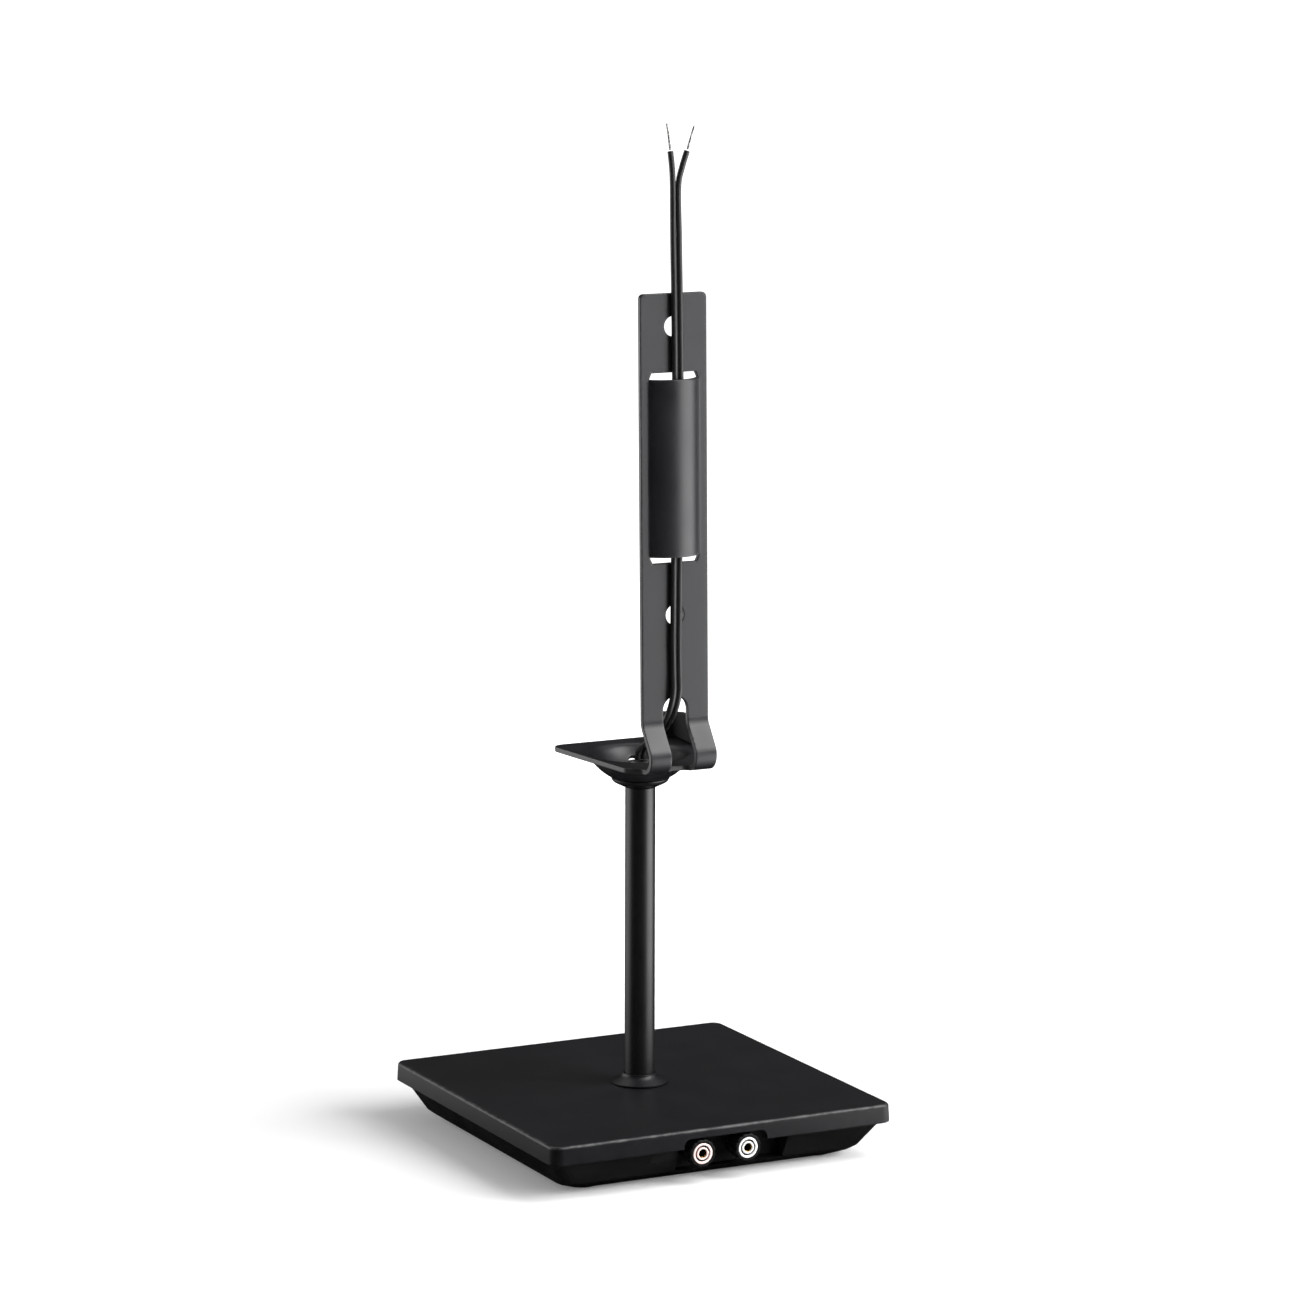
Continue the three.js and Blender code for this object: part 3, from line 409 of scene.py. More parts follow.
def wayAlong(path):
    # Distance covered at each point of a path.
    return np.concatenate([[0], np.cumsum(np.linalg.norm(np.diff(path, axis=0), axis=1))])


# speaker lead

lead = {
    "core": 1.4, "pitch": 3.1,         # radius of a core, and the distance between the two
    "tray": 188.5,                     # heights of the route are measured from here
    "slope": (-35.65, 209.0, 1.12),    # mid-plane of the upright: y at a height, lean in degrees
    "sheet": 2.5, "clearance": 0.3,
    "sides": 20, "edge": 0.25,
    "webThick": 0.7, "webEnd": 268,
    "wires": 6, "wireRadius": 0.17, "bundleRadius": 0.36, "twist": 5.5,
}


def rearOf(height):
    # Where the lead's axis lies against the rear of the leaning upright.
    s = lead
    y, z, lean = s["slope"][0], s["slope"][1], math.radians(s["slope"][2])
    face = y + (s["tray"] + height - z) * math.tan(lean) - s["sheet"] / 2 / math.cos(lean)
    return face - s["core"] - s["clearance"]


climb = {45.5: -0.4, 57.5: -0.5, 73.5: -0.3, 99.5: 0.1, 141.5: 0.8, 184.5: 1.2, 224.5: 1, 251.5: 0.7,
         276.5: 0.65}                                                     # height: x, up the upright
leadRoute = [(0, 0, -2), (0, -0.3, 0.1), (-0.2, -1.8, 2.7), (-0.6, -5.2, 5.3), (-1.2, -11.5, 8.1),
             (-1.8, -19.3, 12.8), (-2.1, -26.6, 17.4), (-2.1, -32.2, 22.1), (-1.8, -36.1, 27.0),
             (-1.2, -38.1, 32.2), (-0.6, -38.7, 37.6)] + [(x, rearOf(h), h) for h, x in climb.items()]
leadEnds = {
    "left": {"side": -1, "core": [(-1.35, -33.7, 283.5), (-2.2, -33.6, 291)],
             "tip": [(-2.3, -33.6, 291.6), (-3, -33.5, 297.5), (-4.1, -33.4, 304)]},
    "right": {"side": 1, "core": [(3.9, -33.7, 283.5), (6.5, -33.6, 291)],
              "tip": [(6.75, -33.6, 291.6), (8.6, -33.5, 297.5), (10.4, -33.4, 302.7)]},
}


def endedTube(path, radius, edge, sides, wide=1.0):
    # A round tube with flat ends and a small rounded edge. Its rings are the axis point, a quarter
    # circle out to the full radius, the wall along the path, and the same back in. The straightened
    # place of a point is (distance along, radius cos a, radius sin a).
    ahead, beside, above = framesAlong(path)
    travelled = wayAlong(path)
    keep = np.flatnonzero((travelled > 1.5 * edge) & (travelled < travelled[-1] - 1.5 * edge))
    turn = quarter(4)
    rim, inset = radius - edge * (1 - np.sin(turn)), edge * (1 - np.cos(turn))
    order = np.concatenate([np.zeros(5, int), keep, np.full(5, len(path) - 1)])
    shift = np.concatenate([[0], inset, 0.0 * keep, -inset[::-1], [0]])
    radii = np.concatenate([[0], rim, np.full(len(keep), radius), rim[::-1], [0]])[:, None]
    angle = fullTurn(sides)
    side, up = wide * radii * np.cos(angle), radii * np.sin(angle)
    centre = path[order] + ahead[order] * shift[:, None]
    points = centre[:, None] + side[..., None] * beside[order][:, None] + up[..., None] * above[order][:, None]
    straight = np.stack([(travelled[order] + shift)[:, None] + 0 * side, side, up], -1)
    return points.reshape(-1, 3), gridFaces(len(order), sides, False, True), straight.reshape(-1, 3)


def twistedWires(path, s):
    # Wires wound round the path: the centre of wire k turns about the path once per twist length, and
    # the bundle tapers to two thirds at its tip. One more wire runs straight through the middle.
    ahead, beside, above = framesAlong(path)
    travelled = wayAlong(path)
    share = travelled / travelled[-1]
    wire = np.arange(s["wires"] + 1)[:, None]
    turn = 2 * np.pi * (travelled[None] / s["twist"] + wire / s["wires"])
    reach = np.where(wire < s["wires"], s["bundleRadius"] * (1 - 0.33 * share), 0)
    reach = reach * (1 + 0.12 * np.sin(3 * turn + wire)) * np.clip(share * 14 + 0.5, 0, 1)
    centre = path + (reach * np.cos(turn))[..., None] * beside + (reach * np.sin(turn))[..., None] * above
    last = len(path) - 1 - (wire[:, 0] * 5) % 4                 # wires end at slightly different places
    angle = fullTurn(8)
    ring = beside[:, None] * np.cos(angle)[:, None] + above[:, None] * np.sin(angle)[:, None]
    thick = np.where(np.arange(len(path)) < last[:, None], s["wireRadius"], 0.0)
    thick[:, 0] = 0
    points = centre[:, :, None] + thick[..., None, None] * ring
    faces = gridFaces(len(path), 8, False, True)
    faces = (faces[None] + np.arange(len(wire))[:, None, None] * len(path) * 8).reshape(-1, 4)
    return points.reshape(-1, 3), faces


def makeLead(s):
    tray = np.array([0, 0, s["tray"]])
    shared = np.array(leadRoute, float) + tray
    for name, end in leadEnds.items():
        shift = np.array([end["side"] * s["pitch"] / 2, 0, 0])
        path = smoothPath(np.vstack([shared + shift, np.array(end["core"]) + tray]), 10)
        tip = smoothPath(np.array(end["tip"]) + tray, 30)
        title = name.capitalize()
        strands = addPiece("leadStrands" + title, *twistedWires(tip, s), "tinnedWire", "bracket_body",
                           ["lead_strand_" + name])
        points, faces, straight = endedTube(path, s["core"], s["edge"], s["sides"])
        core = addPiece("leadCore" + title, points, faces, "cableJacket", "bracket_body",
                        ["lead_core_" + name], straight=straight)
    web = smoothPath(shared[shared[:, 2] < s["tray"] + s["webEnd"]], 8)
    points, faces, straight = endedTube(web, s["webThick"] / 2, 0.1, 10, wide=2.2)
    webPiece = addPiece("leadWeb", points, faces, "cableJacket", "bracket_body", straight=straight)


makeLead(lead)


# base

base = {
    "half": 90, "top": 27, "low": 18, "corner": 5.5, "edge": 1.5, "draft": 0.4,
    "topInset": 3, "thick": 3, "wall": 3, "lowEdge": 0.35,
    "notchHalf": 22, "notchHigh": 4.6, "notchRadius": 3.5,
}


def squareTemplate(steps, stops):
    # Outline of a rounded square as (place of the corner-centre square, outward direction): a point of
    # any such square is half * place + corner * direction. stops are the extra points along each side.
    places, outward = [], []
    turn = quarter(steps + 1)
    compass = np.array([(0, -1), (1, 0), (0, 1), (-1, 0), (0, -1)], float)     # rear, right, front, left
    for ahead, across, along in zip(compass, compass[1:], stops):
        places.append(ahead + np.asarray(along)[:, None] * across)
        outward.append(np.repeat(ahead[None], len(along), 0))
        places.append(np.repeat((ahead + across)[None], len(turn), 0))
        outward.append(np.cos(turn)[:, None] * ahead + np.sin(turn)[:, None] * across)
    return np.vstack(places), np.vstack(outward)


def makeBasePlate(s):
    # Rings of a rounded square from the top's edge, over a quarter round, down the slightly spread
    # skirt and back up inside. Over the terminals the skirt's lower edge rises by the notch.
    straight = s["half"] - s["corner"]
    r, w = s["notchRadius"], s["notchHalf"]
    arc = quarter(7)
    notchX = np.concatenate([[-w], -w + r * (1 - np.cos(arc)), [0], (w - r * (1 - np.cos(arc)))[::-1], [w]])
    notchZ = s["notchHigh"] - r * (1 - np.sin(arc))
    notchZ = np.concatenate([[0], notchZ, [s["notchHigh"]], notchZ[::-1], [0]])
    few = np.linspace(-0.8, 0.8, 5)
    rear = np.concatenate([[-0.9, -0.6], notchX / straight, [0.6, 0.9]])
    place, outward = squareTemplate(10, [rear, few, few, few])
    rise = np.zeros(len(place))
    rise[2:2 + len(notchZ)] = notchZ
    low = s["low"] + rise
    ones = np.ones(len(place))
    edge, lowEdge, skirtTop = s["edge"], s["lowEdge"], s["top"] - s["edge"]
    spreadOut = s["draft"] * (skirtTop - low) / (skirtTop - s["low"])
    rings = [(s["top"], -edge - s["topInset"], 0.0)]            # height, reach past the side, rim value
    # The rim value peaks halfway round the top edge, so the lighter rub tone paints a highlight there.
    rings += [(s["top"] - edge * (1 - np.cos(a)), -edge * (1 - np.sin(a)), np.sin(2 * a)) for a in arc]
    soft = quarter(4)
    rings += [(low + lowEdge * (1 - np.sin(a)), spreadOut - lowEdge * (1 - np.cos(a)), 0.05) for a in soft]
    rings += [(low + lowEdge * (1 - np.cos(a)), spreadOut - s["wall"] + lowEdge * (1 - np.sin(a)), 0.3) for a in soft]
    rings += [(s["top"] - s["thick"], -s["wall"], 0.0)]
    height = np.stack([z * ones for z, _, _ in rings])
    reach = s["corner"] + np.stack([out * ones for _, out, _ in rings])
    flat = straight * place + reach[..., None] * outward
    points = np.concatenate([flat, height[..., None]], -1)
    count = len(place)
    faces = gridFaces(len(rings), count, False, True).tolist()
    faces += [list(range(count)), list(range((len(rings) - 1) * count, len(rings) * count))]
    rim = np.repeat([value for _, _, value in rings], count)
    addPiece("basePlate", points.reshape(-1, 3), faces, "basePaint", "root", ["base_plate"], rim=rim)


makeBasePlate(base)

feet = {"radius": 9, "high": 2.7, "edge": 1.2, "spread": 62, "groove": 0.35}


def makeFeet(s):
    # Four low rubber discs with a rounded lower edge and one shallow groove round the wall.
    r, high = s["radius"], s["high"]
    profile = roundedLine([(0, 0), (r, 0, s["edge"]), (r, high * 0.6), (r - s["groove"], high * 0.7),
                           (r, high * 0.8), (r, high, 0.2), (0, high)], 5)
    points, faces = turnedPoints(profile, 48)
    for i, (x, y) in enumerate([(1, 1), (-1, 1), (-1, -1), (1, -1)]):
        place = np.array([x, y, 0]) * s["spread"]
        addPiece(f"rubberFoot{i + 1}", points + place, faces, "footRubber", "root", [f"rubber_foot_{i + 1}"])


makeFeet(feet)
print("base done")


# column and ball seat

column = {
    "radius": 7.3, "wall": 1.2, "foot": 27.3, "top": 173.2, "edge": 0.25,
    "collarRadius": 13.8, "collarHigh": 4.8, "collarRim": 0.7, "collarWall": 0.6, "gap": 0.3,
    "spigot": 4.9, "bore": 3.3, "plug": 5.9, "plugLength": 15,
}


def makeColumn(s):
    wallIn, r, e = s["radius"] - s["wall"], s["radius"], s["edge"]
    tube = roundedLine([(wallIn, s["foot"], e), (r, s["foot"], e), (r, s["top"], e), (wallIn, s["top"], e)], 4, True)
    addPiece("columnTube", *turnedPoints(tube, 96), "columnPaint", "root", ["column_tube"])
    bore = r + s["gap"]
    # The collar's flare is a parabola: it leaves the rim steeply inwards and ends upright at the tube.
    t = np.linspace(0, 1, 14)
    flare = np.stack([bore + s["collarWall"] + (s["collarRadius"] - bore - s["collarWall"]) * (1 - t) ** 2,
                      s["collarRim"] + (s["collarHigh"] - s["collarRim"]) * t], -1)
    profile = np.vstack([[(bore, 0)], roundedLine([(bore, 0), (s["collarRadius"], 0, 0.25), flare[0]], 3)[1:],
                         flare[1:-1], roundedLine([flare[-2], (*flare[-1], 0.2), (bore, s["collarHigh"])], 3)[1:]])
    profile[:, 1] += s["foot"]
    addPiece("columnCollar", *turnedPoints(profile, 96), "basePaint", "root", ["column_collar"])


makeColumn(column)

seat = {
    "dish": 29.7, "centre": 204.2, "sheet": 2.5, "gap": 0.3,
    "cupRadius": 14, "cupWall": 1.8, "cupFloor": 1.3, "cupFoot": 1.6, "hole": 9.5,
    "washerRadius": 13.5, "washerRim": 0.97, "nutFlats": 14, "nutThick": 3, "spigotProud": 0.4,
}


def sphereHeight(s, sphere, radius):
    # The underside of a sphere about the ball's centre, at a distance from the axis.
    return s["centre"] - np.sqrt(sphere ** 2 - np.asarray(radius, float) ** 2)


def nutPoints(flats, bore, low, high):
    # Rings round a hexagon nut, whose side is half the flats over the cosine from the side's middle away
    # from the axis. A cone from the flats' circle cuts its corners at both faces.
    angle = fullTurn(72)
    side = flats / 2 / np.cos((angle + np.pi / 6) % (np.pi / 3) - np.pi / 6)
    circle = flats / 2 * 0.96
    cut = np.minimum((side - circle) * 0.55, (high - low) / 2)
    rings = [(bore, high - 0.3), (bore + 0.3, high), (circle, high), (side, high - cut), (side, low + cut),
             (circle, low), (bore, low)]
    points = [np.stack([r * np.cos(angle), r * np.sin(angle), z + 0 * side], -1) for r, z in rings]
    return np.vstack(points), gridFaces(len(rings), len(angle), True, True)


def makeSeat(s, c):
    inner = s["hole"] + 0.4
    radii = np.linspace(s["cupRadius"], inner, 8)
    seatArc = np.stack([radii, sphereHeight(s, s["dish"] + s["gap"], radii)], -1)
    low, lip = c["top"] + s["gap"], seatArc[0, 1]
    bore = c["spigot"] + s["gap"]
    outside = roundedLine([(bore, low), (c["radius"], low), (c["radius"] + s["cupFoot"], low + s["gap"], 0.4),
                           (s["cupRadius"] - s["cupWall"] / 2, lip - s["cupWall"], 2.0),
                           (s["cupRadius"], lip - s["gap"], 0.25), tuple(seatArc[0])], 5)
    inside = [(inner - s["gap"], low + s["cupFloor"]), (bore, low + s["cupFloor"])]
    addPiece("swivelCup", *turnedPoints(np.vstack([outside, seatArc[1:], inside]), 96), "columnPaint", "root",
             ["swivel_cup"])
    dishInner = s["dish"] - s["sheet"] - s["gap"]
    radii = np.linspace(bore, s["washerRadius"], 8)
    under = np.stack([radii, sphereHeight(s, dishInner, radii)], -1)
    top = under[-1, 1] + s["washerRim"]
    washer = np.vstack([under, roundedLine([under[-1], (s["washerRadius"], top, 0.3), (bore, top)], 4)[1:]])
    addPiece("ballWasher", *turnedPoints(washer, 72), "platedSteel", "swivel", ["ball_washer"])
    nutTop = top + s["gap"] + s["nutThick"]
    addPiece("ballNut", *nutPoints(s["nutFlats"], bore, top + s["gap"], nutTop), "platedSteel", "root",
             ["ball_nut"])
    plugLow, spigotTop = c["top"] - c["plugLength"], nutTop + s["spigotProud"]
    plug = roundedLine([(c["bore"], plugLow), (c["plug"], plugLow), (c["plug"], c["top"]), (c["spigot"], c["top"]),
                        (c["spigot"], spigotTop, 0.5), (c["bore"], spigotTop, 0.5)], 4)
    addPiece("spigot", *turnedPoints(plug, 64), "platedSteel", "root", ["upper_plug"])


makeSeat(seat, column)
print("column and seat done")


# bracket

bracket = {                 # heights are measured from the tray's mid-plane
    "thick": 2.5, "width": 35, "edge": 0.4, "tray": 188.5,
    "top": 225, "front": 35.5, "frontHalf": 31.2, "frontCorner": 6,
    "neckHalf": 24.4, "neckY": -32, "neckRun": 5.5, "neckRadius": 5,
    "heelY": -44.85, "heelTop": 8.4, "heelRadius": 6.4, "backY": -35.65, "backFoot": 21.5, "lean": 1.12,
    "jogLow": 6, "jogHigh": 8.5, "slotHalf": 6.4, "slotTop": 34.6, "slotEndY": -37.5, "slotEndRadius": 3,
    "holeRadius": 4.75, "lowerHole": 73.5, "upperHole": 209.5, "topCorner": 2.4,
    "bridgeLow": 101.3, "bridgeHigh": 184.9, "bridgeHalf": 12.65, "bridgeRise": 6.2,
    "bridgeFoot": 0.3, "slit": 3, "slitHalf": 12.9, "slitSlant": 1.4,
    "dish": 28.45, "dishHole": 9.3, "dishFillet": 3.75, "ballCentre": 15.7, "dishBend": 22.3, "dishEnd": 27,
    "peephole": 2.3, "peepholeReach": 17.9, "peepholeTurn": 15.5,
    "lipX": 36.6, "lipY": 18.5, "lipTurn": 4.7, "lipLength": 31, "lipHigh": 12, "lipBend": 1.2,
    "rampX": 27.6, "rampY": -2, "lipCrown": 12, "lipCorner": 4, "lipNear": 3.2, "lipFar": 2.2,
    "padThick": 2.0, "padShort": 0.4, "padHigh": 13.9, "padGap": 0.3, "padReturn": 10, "padCorner": 3,
    "padEdge": 0.7,
}


def foldLine(s):
    # Mid-line of the sheet from the tray's front over the heel and up: rows (travelled, y, z).
    slope = math.tan(math.radians(s["lean"]))
    rise = s["top"] + 4
    line = roundedLine([(s["front"], 0), (s["heelY"], 0, s["heelRadius"]), (s["heelY"], s["heelTop"], s["jogLow"]),
                        (s["backY"], s["backFoot"], s["jogHigh"]),
                        (s["backY"] + (rise - s["backFoot"]) * slope, rise)], 60)
    travelled = np.concatenate([[0], np.cumsum(np.hypot(*np.diff(line, axis=0).T))])
    return travelled, line[:, 0], line[:, 1]


def unrolled(s, height):
    # The flat sheet's y of a height on the upright: the tray's front minus the way along the mid-line.
    travelled, y, z = foldLine(s)
    return s["front"] - float(np.interp(height, z[1:], travelled[1:]))


def lipAxes(s):
    # The lip's middle on the flat tray, the direction out over it, and the direction along it.
    turn = math.radians(s["lipTurn"])
    return np.array([[s["lipX"], s["lipY"]], [math.cos(turn), -math.sin(turn)], [math.sin(turn), math.cos(turn)]])


def bracketMiddle(s, flat):
    # Folds the flat sheet: the dish is a sphere with a fillet at its rim, the lip a quarter turn and a
    # straight rise, heel and S-bend follow the mid-line, and the bridge bulges rearwards as an arc.
    x, y = flat[:, 0], flat[:, 1]
    travelled, lineY, lineZ = foldLine(s)
    way = s["front"] - y
    place = np.stack([x, np.interp(way, travelled, lineY), np.interp(way, travelled, lineZ)], -1)
    # dish
    radius = np.hypot(x, y)
    fillet, ball = s["dishFillet"], s["dish"]
    filletRadius = math.sqrt((ball + fillet) ** 2 - (s["ballCentre"] + fillet) ** 2)
    touch = filletRadius * ball / (ball + fillet)
    sphere = s["ballCentre"] - np.sqrt(np.maximum(ball ** 2 - radius ** 2, 0))
    rimArc = -fillet + np.sqrt(np.maximum(fillet ** 2 - (radius - filletRadius) ** 2, 0))
    place[:, 2] += np.where(radius < touch, sphere, np.where(radius < filletRadius, rimArc, 0))
    # lip
    corner, outward, along = lipAxes(s)
    u, v = (flat - corner) @ outward, (flat - corner) @ along
    bend = s["lipBend"] + s["thick"] / 2
    past = np.where(np.abs(v) < s["lipLength"] / 2 + 0.6, u + s["lipBend"] + s["thick"], 0)
    past = np.where(radius < 80, np.maximum(past, 0), 0)
    turn = np.minimum(past / bend, np.pi / 2)
    straight = np.maximum(past - bend * np.pi / 2, 0)
    place[:, :2] += ((bend * np.sin(turn) - past)[:, None]) * outward
    place[:, 2] += bend * (1 - np.cos(turn)) + straight
    # bridge
    low, high = unrolled(s, s["bridgeLow"]), unrolled(s, s["bridgeHigh"])
    arcRadius = (s["bridgeHalf"] ** 2 + s["bridgeRise"] ** 2) / (2 * s["bridgeRise"])
    arc = np.sqrt(np.maximum(arcRadius ** 2 - x ** 2, 0)) - (arcRadius - s["bridgeRise"])
    bulge = (arc + np.sqrt(arc ** 2 + s["bridgeFoot"] ** 2)) / 2
    bulge = np.where((y < low + 0.015) & (y > high - 0.015) & (np.abs(x) < 15), bulge, 0)
    lean = math.radians(s["lean"])
    place[:, 1] -= bulge * math.cos(lean)
    place[:, 2] += bulge * math.sin(lean) + s["tray"]
    return place


def insideLoop(points, loop):
    # Even-odd rule: a point is inside when a ray towards +x crosses the loop an odd number of times.
    x, y = points[:, 0][:, None], points[:, 1][:, None]
    a, b = loop, np.roll(loop, -1, axis=0)
    crosses = (a[:, 1] > y) != (b[:, 1] > y)
    at = a[:, 0] + (y - a[:, 1]) * (b[:, 0] - a[:, 0]) / np.where(b[:, 1] == a[:, 1], 1e-9, b[:, 1] - a[:, 1])
    return (crosses & (x < at)).sum(1) % 2 == 1


def filledLoop(loop, step):
    # Adds points along the loop so that none of its sides is longer than step.
    pieces = []
    for a, b in zip(loop, np.roll(loop, -1, axis=0)):
        count = max(1, int(np.ceil(np.hypot(*(b - a)) / step)))
        pieces.append(a + (b - a) * np.arange(count)[:, None] / count)
    return np.vstack(pieces)


def loopNormals(loop, inward):
    # Mitred normals of a loop, away from the material: outwards for the outline, inwards for a hole.
    before, after = loop - np.roll(loop, 1, axis=0), np.roll(loop, -1, axis=0) - loop
    square = lambda d: np.stack([d[:, 1], -d[:, 0]], -1) / np.linalg.norm(d, axis=1, keepdims=True)
    total = square(before) + square(after)
    total /= np.linalg.norm(total, axis=1, keepdims=True)
    mitre = np.clip((total * square(after)).sum(1, keepdims=True), 0.6, 1)
    x, y = loop[:, 0], loop[:, 1]
    area = (x * np.roll(y, -1) - y * np.roll(x, -1)).sum()
    return total / mitre * np.sign(area) * (-1 if inward else 1)


def sheetMesh(outline, holes, inner, middle, thick, edge, step):
    # A sheet: the flat outline less its holes is split into triangles, middle() folds it, and both
    # faces lie half the thickness off that. A rim with two quarter rounds joins them along each loop.
    loops = [filledLoop(loop, step) for loop in (outline, *holes)]
    normals = [loopNormals(loop, i > 0) for i, loop in enumerate(loops)]
    inset = [loop - normal * edge for loop, normal in zip(loops, normals)]

    def onSheet(places):
        solid = insideLoop(places, inset[0])
        for hole in inset[1:]:
            solid &= ~insideLoop(places, hole)
        return solid

    inner = inner[onSheet(inner)]
    border = np.vstack(inset)
    near = np.full(len(inner), 1e9)
    for part in np.array_split(border, max(1, len(border) // 200)):
        near = np.minimum(near, np.sqrt(((inner[:, None] - part[None]) ** 2).sum(-1)).min(1))
    inner = inner[near > 0.35]
    flat = np.vstack([border, inner])
    starts = np.cumsum([0] + [len(loop) for loop in inset])
    edges = [(int(a), int(b)) for first, loop in zip(starts, inset)
             for a, b in zip(first + np.arange(len(loop)), first + np.roll(np.arange(len(loop)), -1))]
    found = delaunay_2d_cdt([Vector(p) for p in flat], edges, [], 0, 1e-5)
    flat = np.array([list(p) for p in found[0]])
    triangles = np.array(found[2])
    order = np.array([ids[0] if ids else -1 for ids in found[3]])
    triangles = triangles[onSheet(flat[triangles].mean(1))]
    back = np.zeros(len(border), int)
    known = (order >= 0) & (order < len(border))
    back[order[known]] = np.flatnonzero(known)

    def off(places, rise):
        # Along the sheet's normal: the cross product of its slopes in x and in y.
        e = 0.01
        slopeX = middle(places + [e, 0]) - middle(places - [e, 0])
        slopeY = middle(places + [0, e]) - middle(places - [0, e])
        normal = np.cross(slopeX, slopeY)
        normal /= np.linalg.norm(normal, axis=1, keepdims=True)
        return middle(places) + normal * rise

    count = len(flat)
    points = [off(flat, thick / 2), off(flat, -thick / 2)]
    faces = [triangles, triangles[:, ::-1] + count]
    rim = [np.zeros(2 * count)]
    rim[0][back], rim[0][back + count] = 0.7, 0.7
    turn = quarter(4)
    out = np.concatenate([edge * np.sin(turn[1:]), edge * np.sin(turn[:0:-1])])
    rise = thick / 2 - edge * (1 - np.cos(turn[1:]))
    rise = np.concatenate([rise, -rise[::-1]])
    total = 2 * count
    for first, loop, normal in zip(starts, inset, normals):
        n = len(loop)
        top, bottom = back[first:first + n], back[first:first + n] + count
        rings = [top] + [total + k * n + np.arange(n) for k in range(len(out))] + [bottom]
        points += [off(loop + normal * o, r) for o, r in zip(out, rise)]
        rim.append(np.ones(len(out) * n))
        total += len(out) * n
        for a, b in zip(rings[:-1], rings[1:]):
            faces.append(np.stack([a, b, np.roll(b, -1), np.roll(a, -1)], -1))
    return np.vstack(points), [list(map(int, f)) for part in faces for f in part], np.concatenate(rim)


def circleLoop(x, y, radius, count=48, narrow=1.0, turn=0.0):
    # A circle, or one narrowed across its own turned axis.
    angle = fullTurn(count)
    a, b = radius * narrow * np.cos(angle), radius * np.sin(angle)
    return np.stack([x + a * math.cos(turn) - b * math.sin(turn), y + a * math.sin(turn) + b * math.cos(turn)], -1)


def makeBracket(s):
    w, half = s["width"] / 2, s["lipLength"] / 2
    corner, outward, along = lipAxes(s)
    bend = s["lipBend"] + s["thick"] / 2
    foldStart = -s["lipBend"] - s["thick"]
    reach = foldStart + bend * np.pi / 2 + s["lipHigh"] + s["thick"] / 2 - bend
    onLip = lambda u, v, r=0.0: (*(corner + u * outward + v * along), r)
    top = unrolled(s, s["top"])
    outline = roundedLine([
        (w, top, s["topCorner"]), (w, s["neckY"] - s["neckRun"], s["neckRadius"]),
        (s["neckHalf"], s["neckY"], s["neckRadius"]), (s["rampX"], s["rampY"], 4),
        onLip(foldStart, -half, 1.5), onLip(reach - s["lipNear"], -half, s["lipCorner"]),
        onLip(reach, 0, s["lipCrown"]), onLip(reach - s["lipFar"], half, s["lipCorner"]), onLip(foldStart, half, 0.6),
        (onLip(foldStart, half)[0], s["front"], 0.8), (-s["frontHalf"], s["front"], s["frontCorner"]),
        (-s["neckHalf"], s["neckY"], s["neckRadius"]), (-w, s["neckY"] - s["neckRun"], s["neckRadius"]),
        (-w, top, s["topCorner"])], 8, True)
    h = s["slotHalf"]
    slotTop = unrolled(s, s["slotTop"])
    slot = roundedLine([(-h, s["slotEndY"], s["slotEndRadius"]), (h, s["slotEndY"], s["slotEndRadius"]),
                        (h, slotTop, h - 0.01), (-h, slotTop, h - 0.01)], 14, True)
    slits = []
    for near, sign in [(s["bridgeLow"], -1), (s["bridgeHigh"], 1)]:
        wide, narrow = s["slitHalf"], s["slitHalf"] - s["slitSlant"]
        nearY, farY = unrolled(s, near), unrolled(s, near + sign * s["slit"])
        slits.append(roundedLine([(-wide, nearY, 0.3), (wide, nearY, 0.3), (narrow, farY, 0.6), (-narrow, farY, 0.6)],
                                 4, True))
    bolts = [circleLoop(0, unrolled(s, z), s["holeRadius"]) for z in (s["lowerHole"], s["upperHole"])]
    aside = math.radians(90 - s["peepholeTurn"])
    tilt = math.asin(s["peepholeReach"] / s["dish"])
    peep = circleLoop(s["peepholeReach"] * math.cos(aside), s["peepholeReach"] * math.sin(aside), s["peephole"],
                      32, math.cos(tilt), aside)
    holes = [slot, *slits, *bolts, peep, circleLoop(0, 0, s["dishHole"], 72)]
    # Inner points: rings over the dish, close rows over the bends and the lip's fold, wide ones elsewhere.
    columns = np.arange(-s["width"], s["width"] + 1, 1.1)
    bends = unrolled(s, s["backFoot"] + 6)
    rows = np.concatenate([np.arange(top, bends, 1.8), np.arange(bends, s["slotEndY"] + 1, 0.6),
                           np.arange(s["slotEndY"] + 1, s["front"], 1.3)])
    grid = np.stack(np.meshgrid(columns, rows), -1).reshape(-1, 2)
    fromLip = (grid - corner) @ outward
    grid = grid[(np.hypot(*grid.T) > s["dishEnd"] + 0.2) & ((fromLip < foldStart - 0.8) | (grid[:, 1] < s["rampY"]))]
    rings = np.concatenate([np.arange(s["dishHole"] + 0.9, s["dishBend"] - 0.3, 0.95),
                            np.arange(s["dishBend"], s["dishEnd"], 0.33)])
    polar = np.concatenate([circleLoop(0, 0, r, int(r * 5.5)) for r in rings])
    folds = np.concatenate([np.arange(foldStart - 0.4, foldStart + bend * np.pi / 2 + 0.4, 0.35),
                            np.arange(foldStart + bend * np.pi / 2 + 1, reach, 1.3)])
    u, v = (a.reshape(-1, 1) for a in np.meshgrid(folds, np.arange(-half + 0.6, half, 1.2)))
    inner = np.vstack([grid, polar, corner + u * outward + v * along])
    points, faces, rim = sheetMesh(outline, holes, inner, lambda p: bracketMiddle(s, p), s["thick"], s["edge"], 1.0)
    addPiece("bracketSheet", points, faces, "bracketPaint", "bracket_body", ["bracket"], rim=rim, creases=60)


makeBracket(bracket)


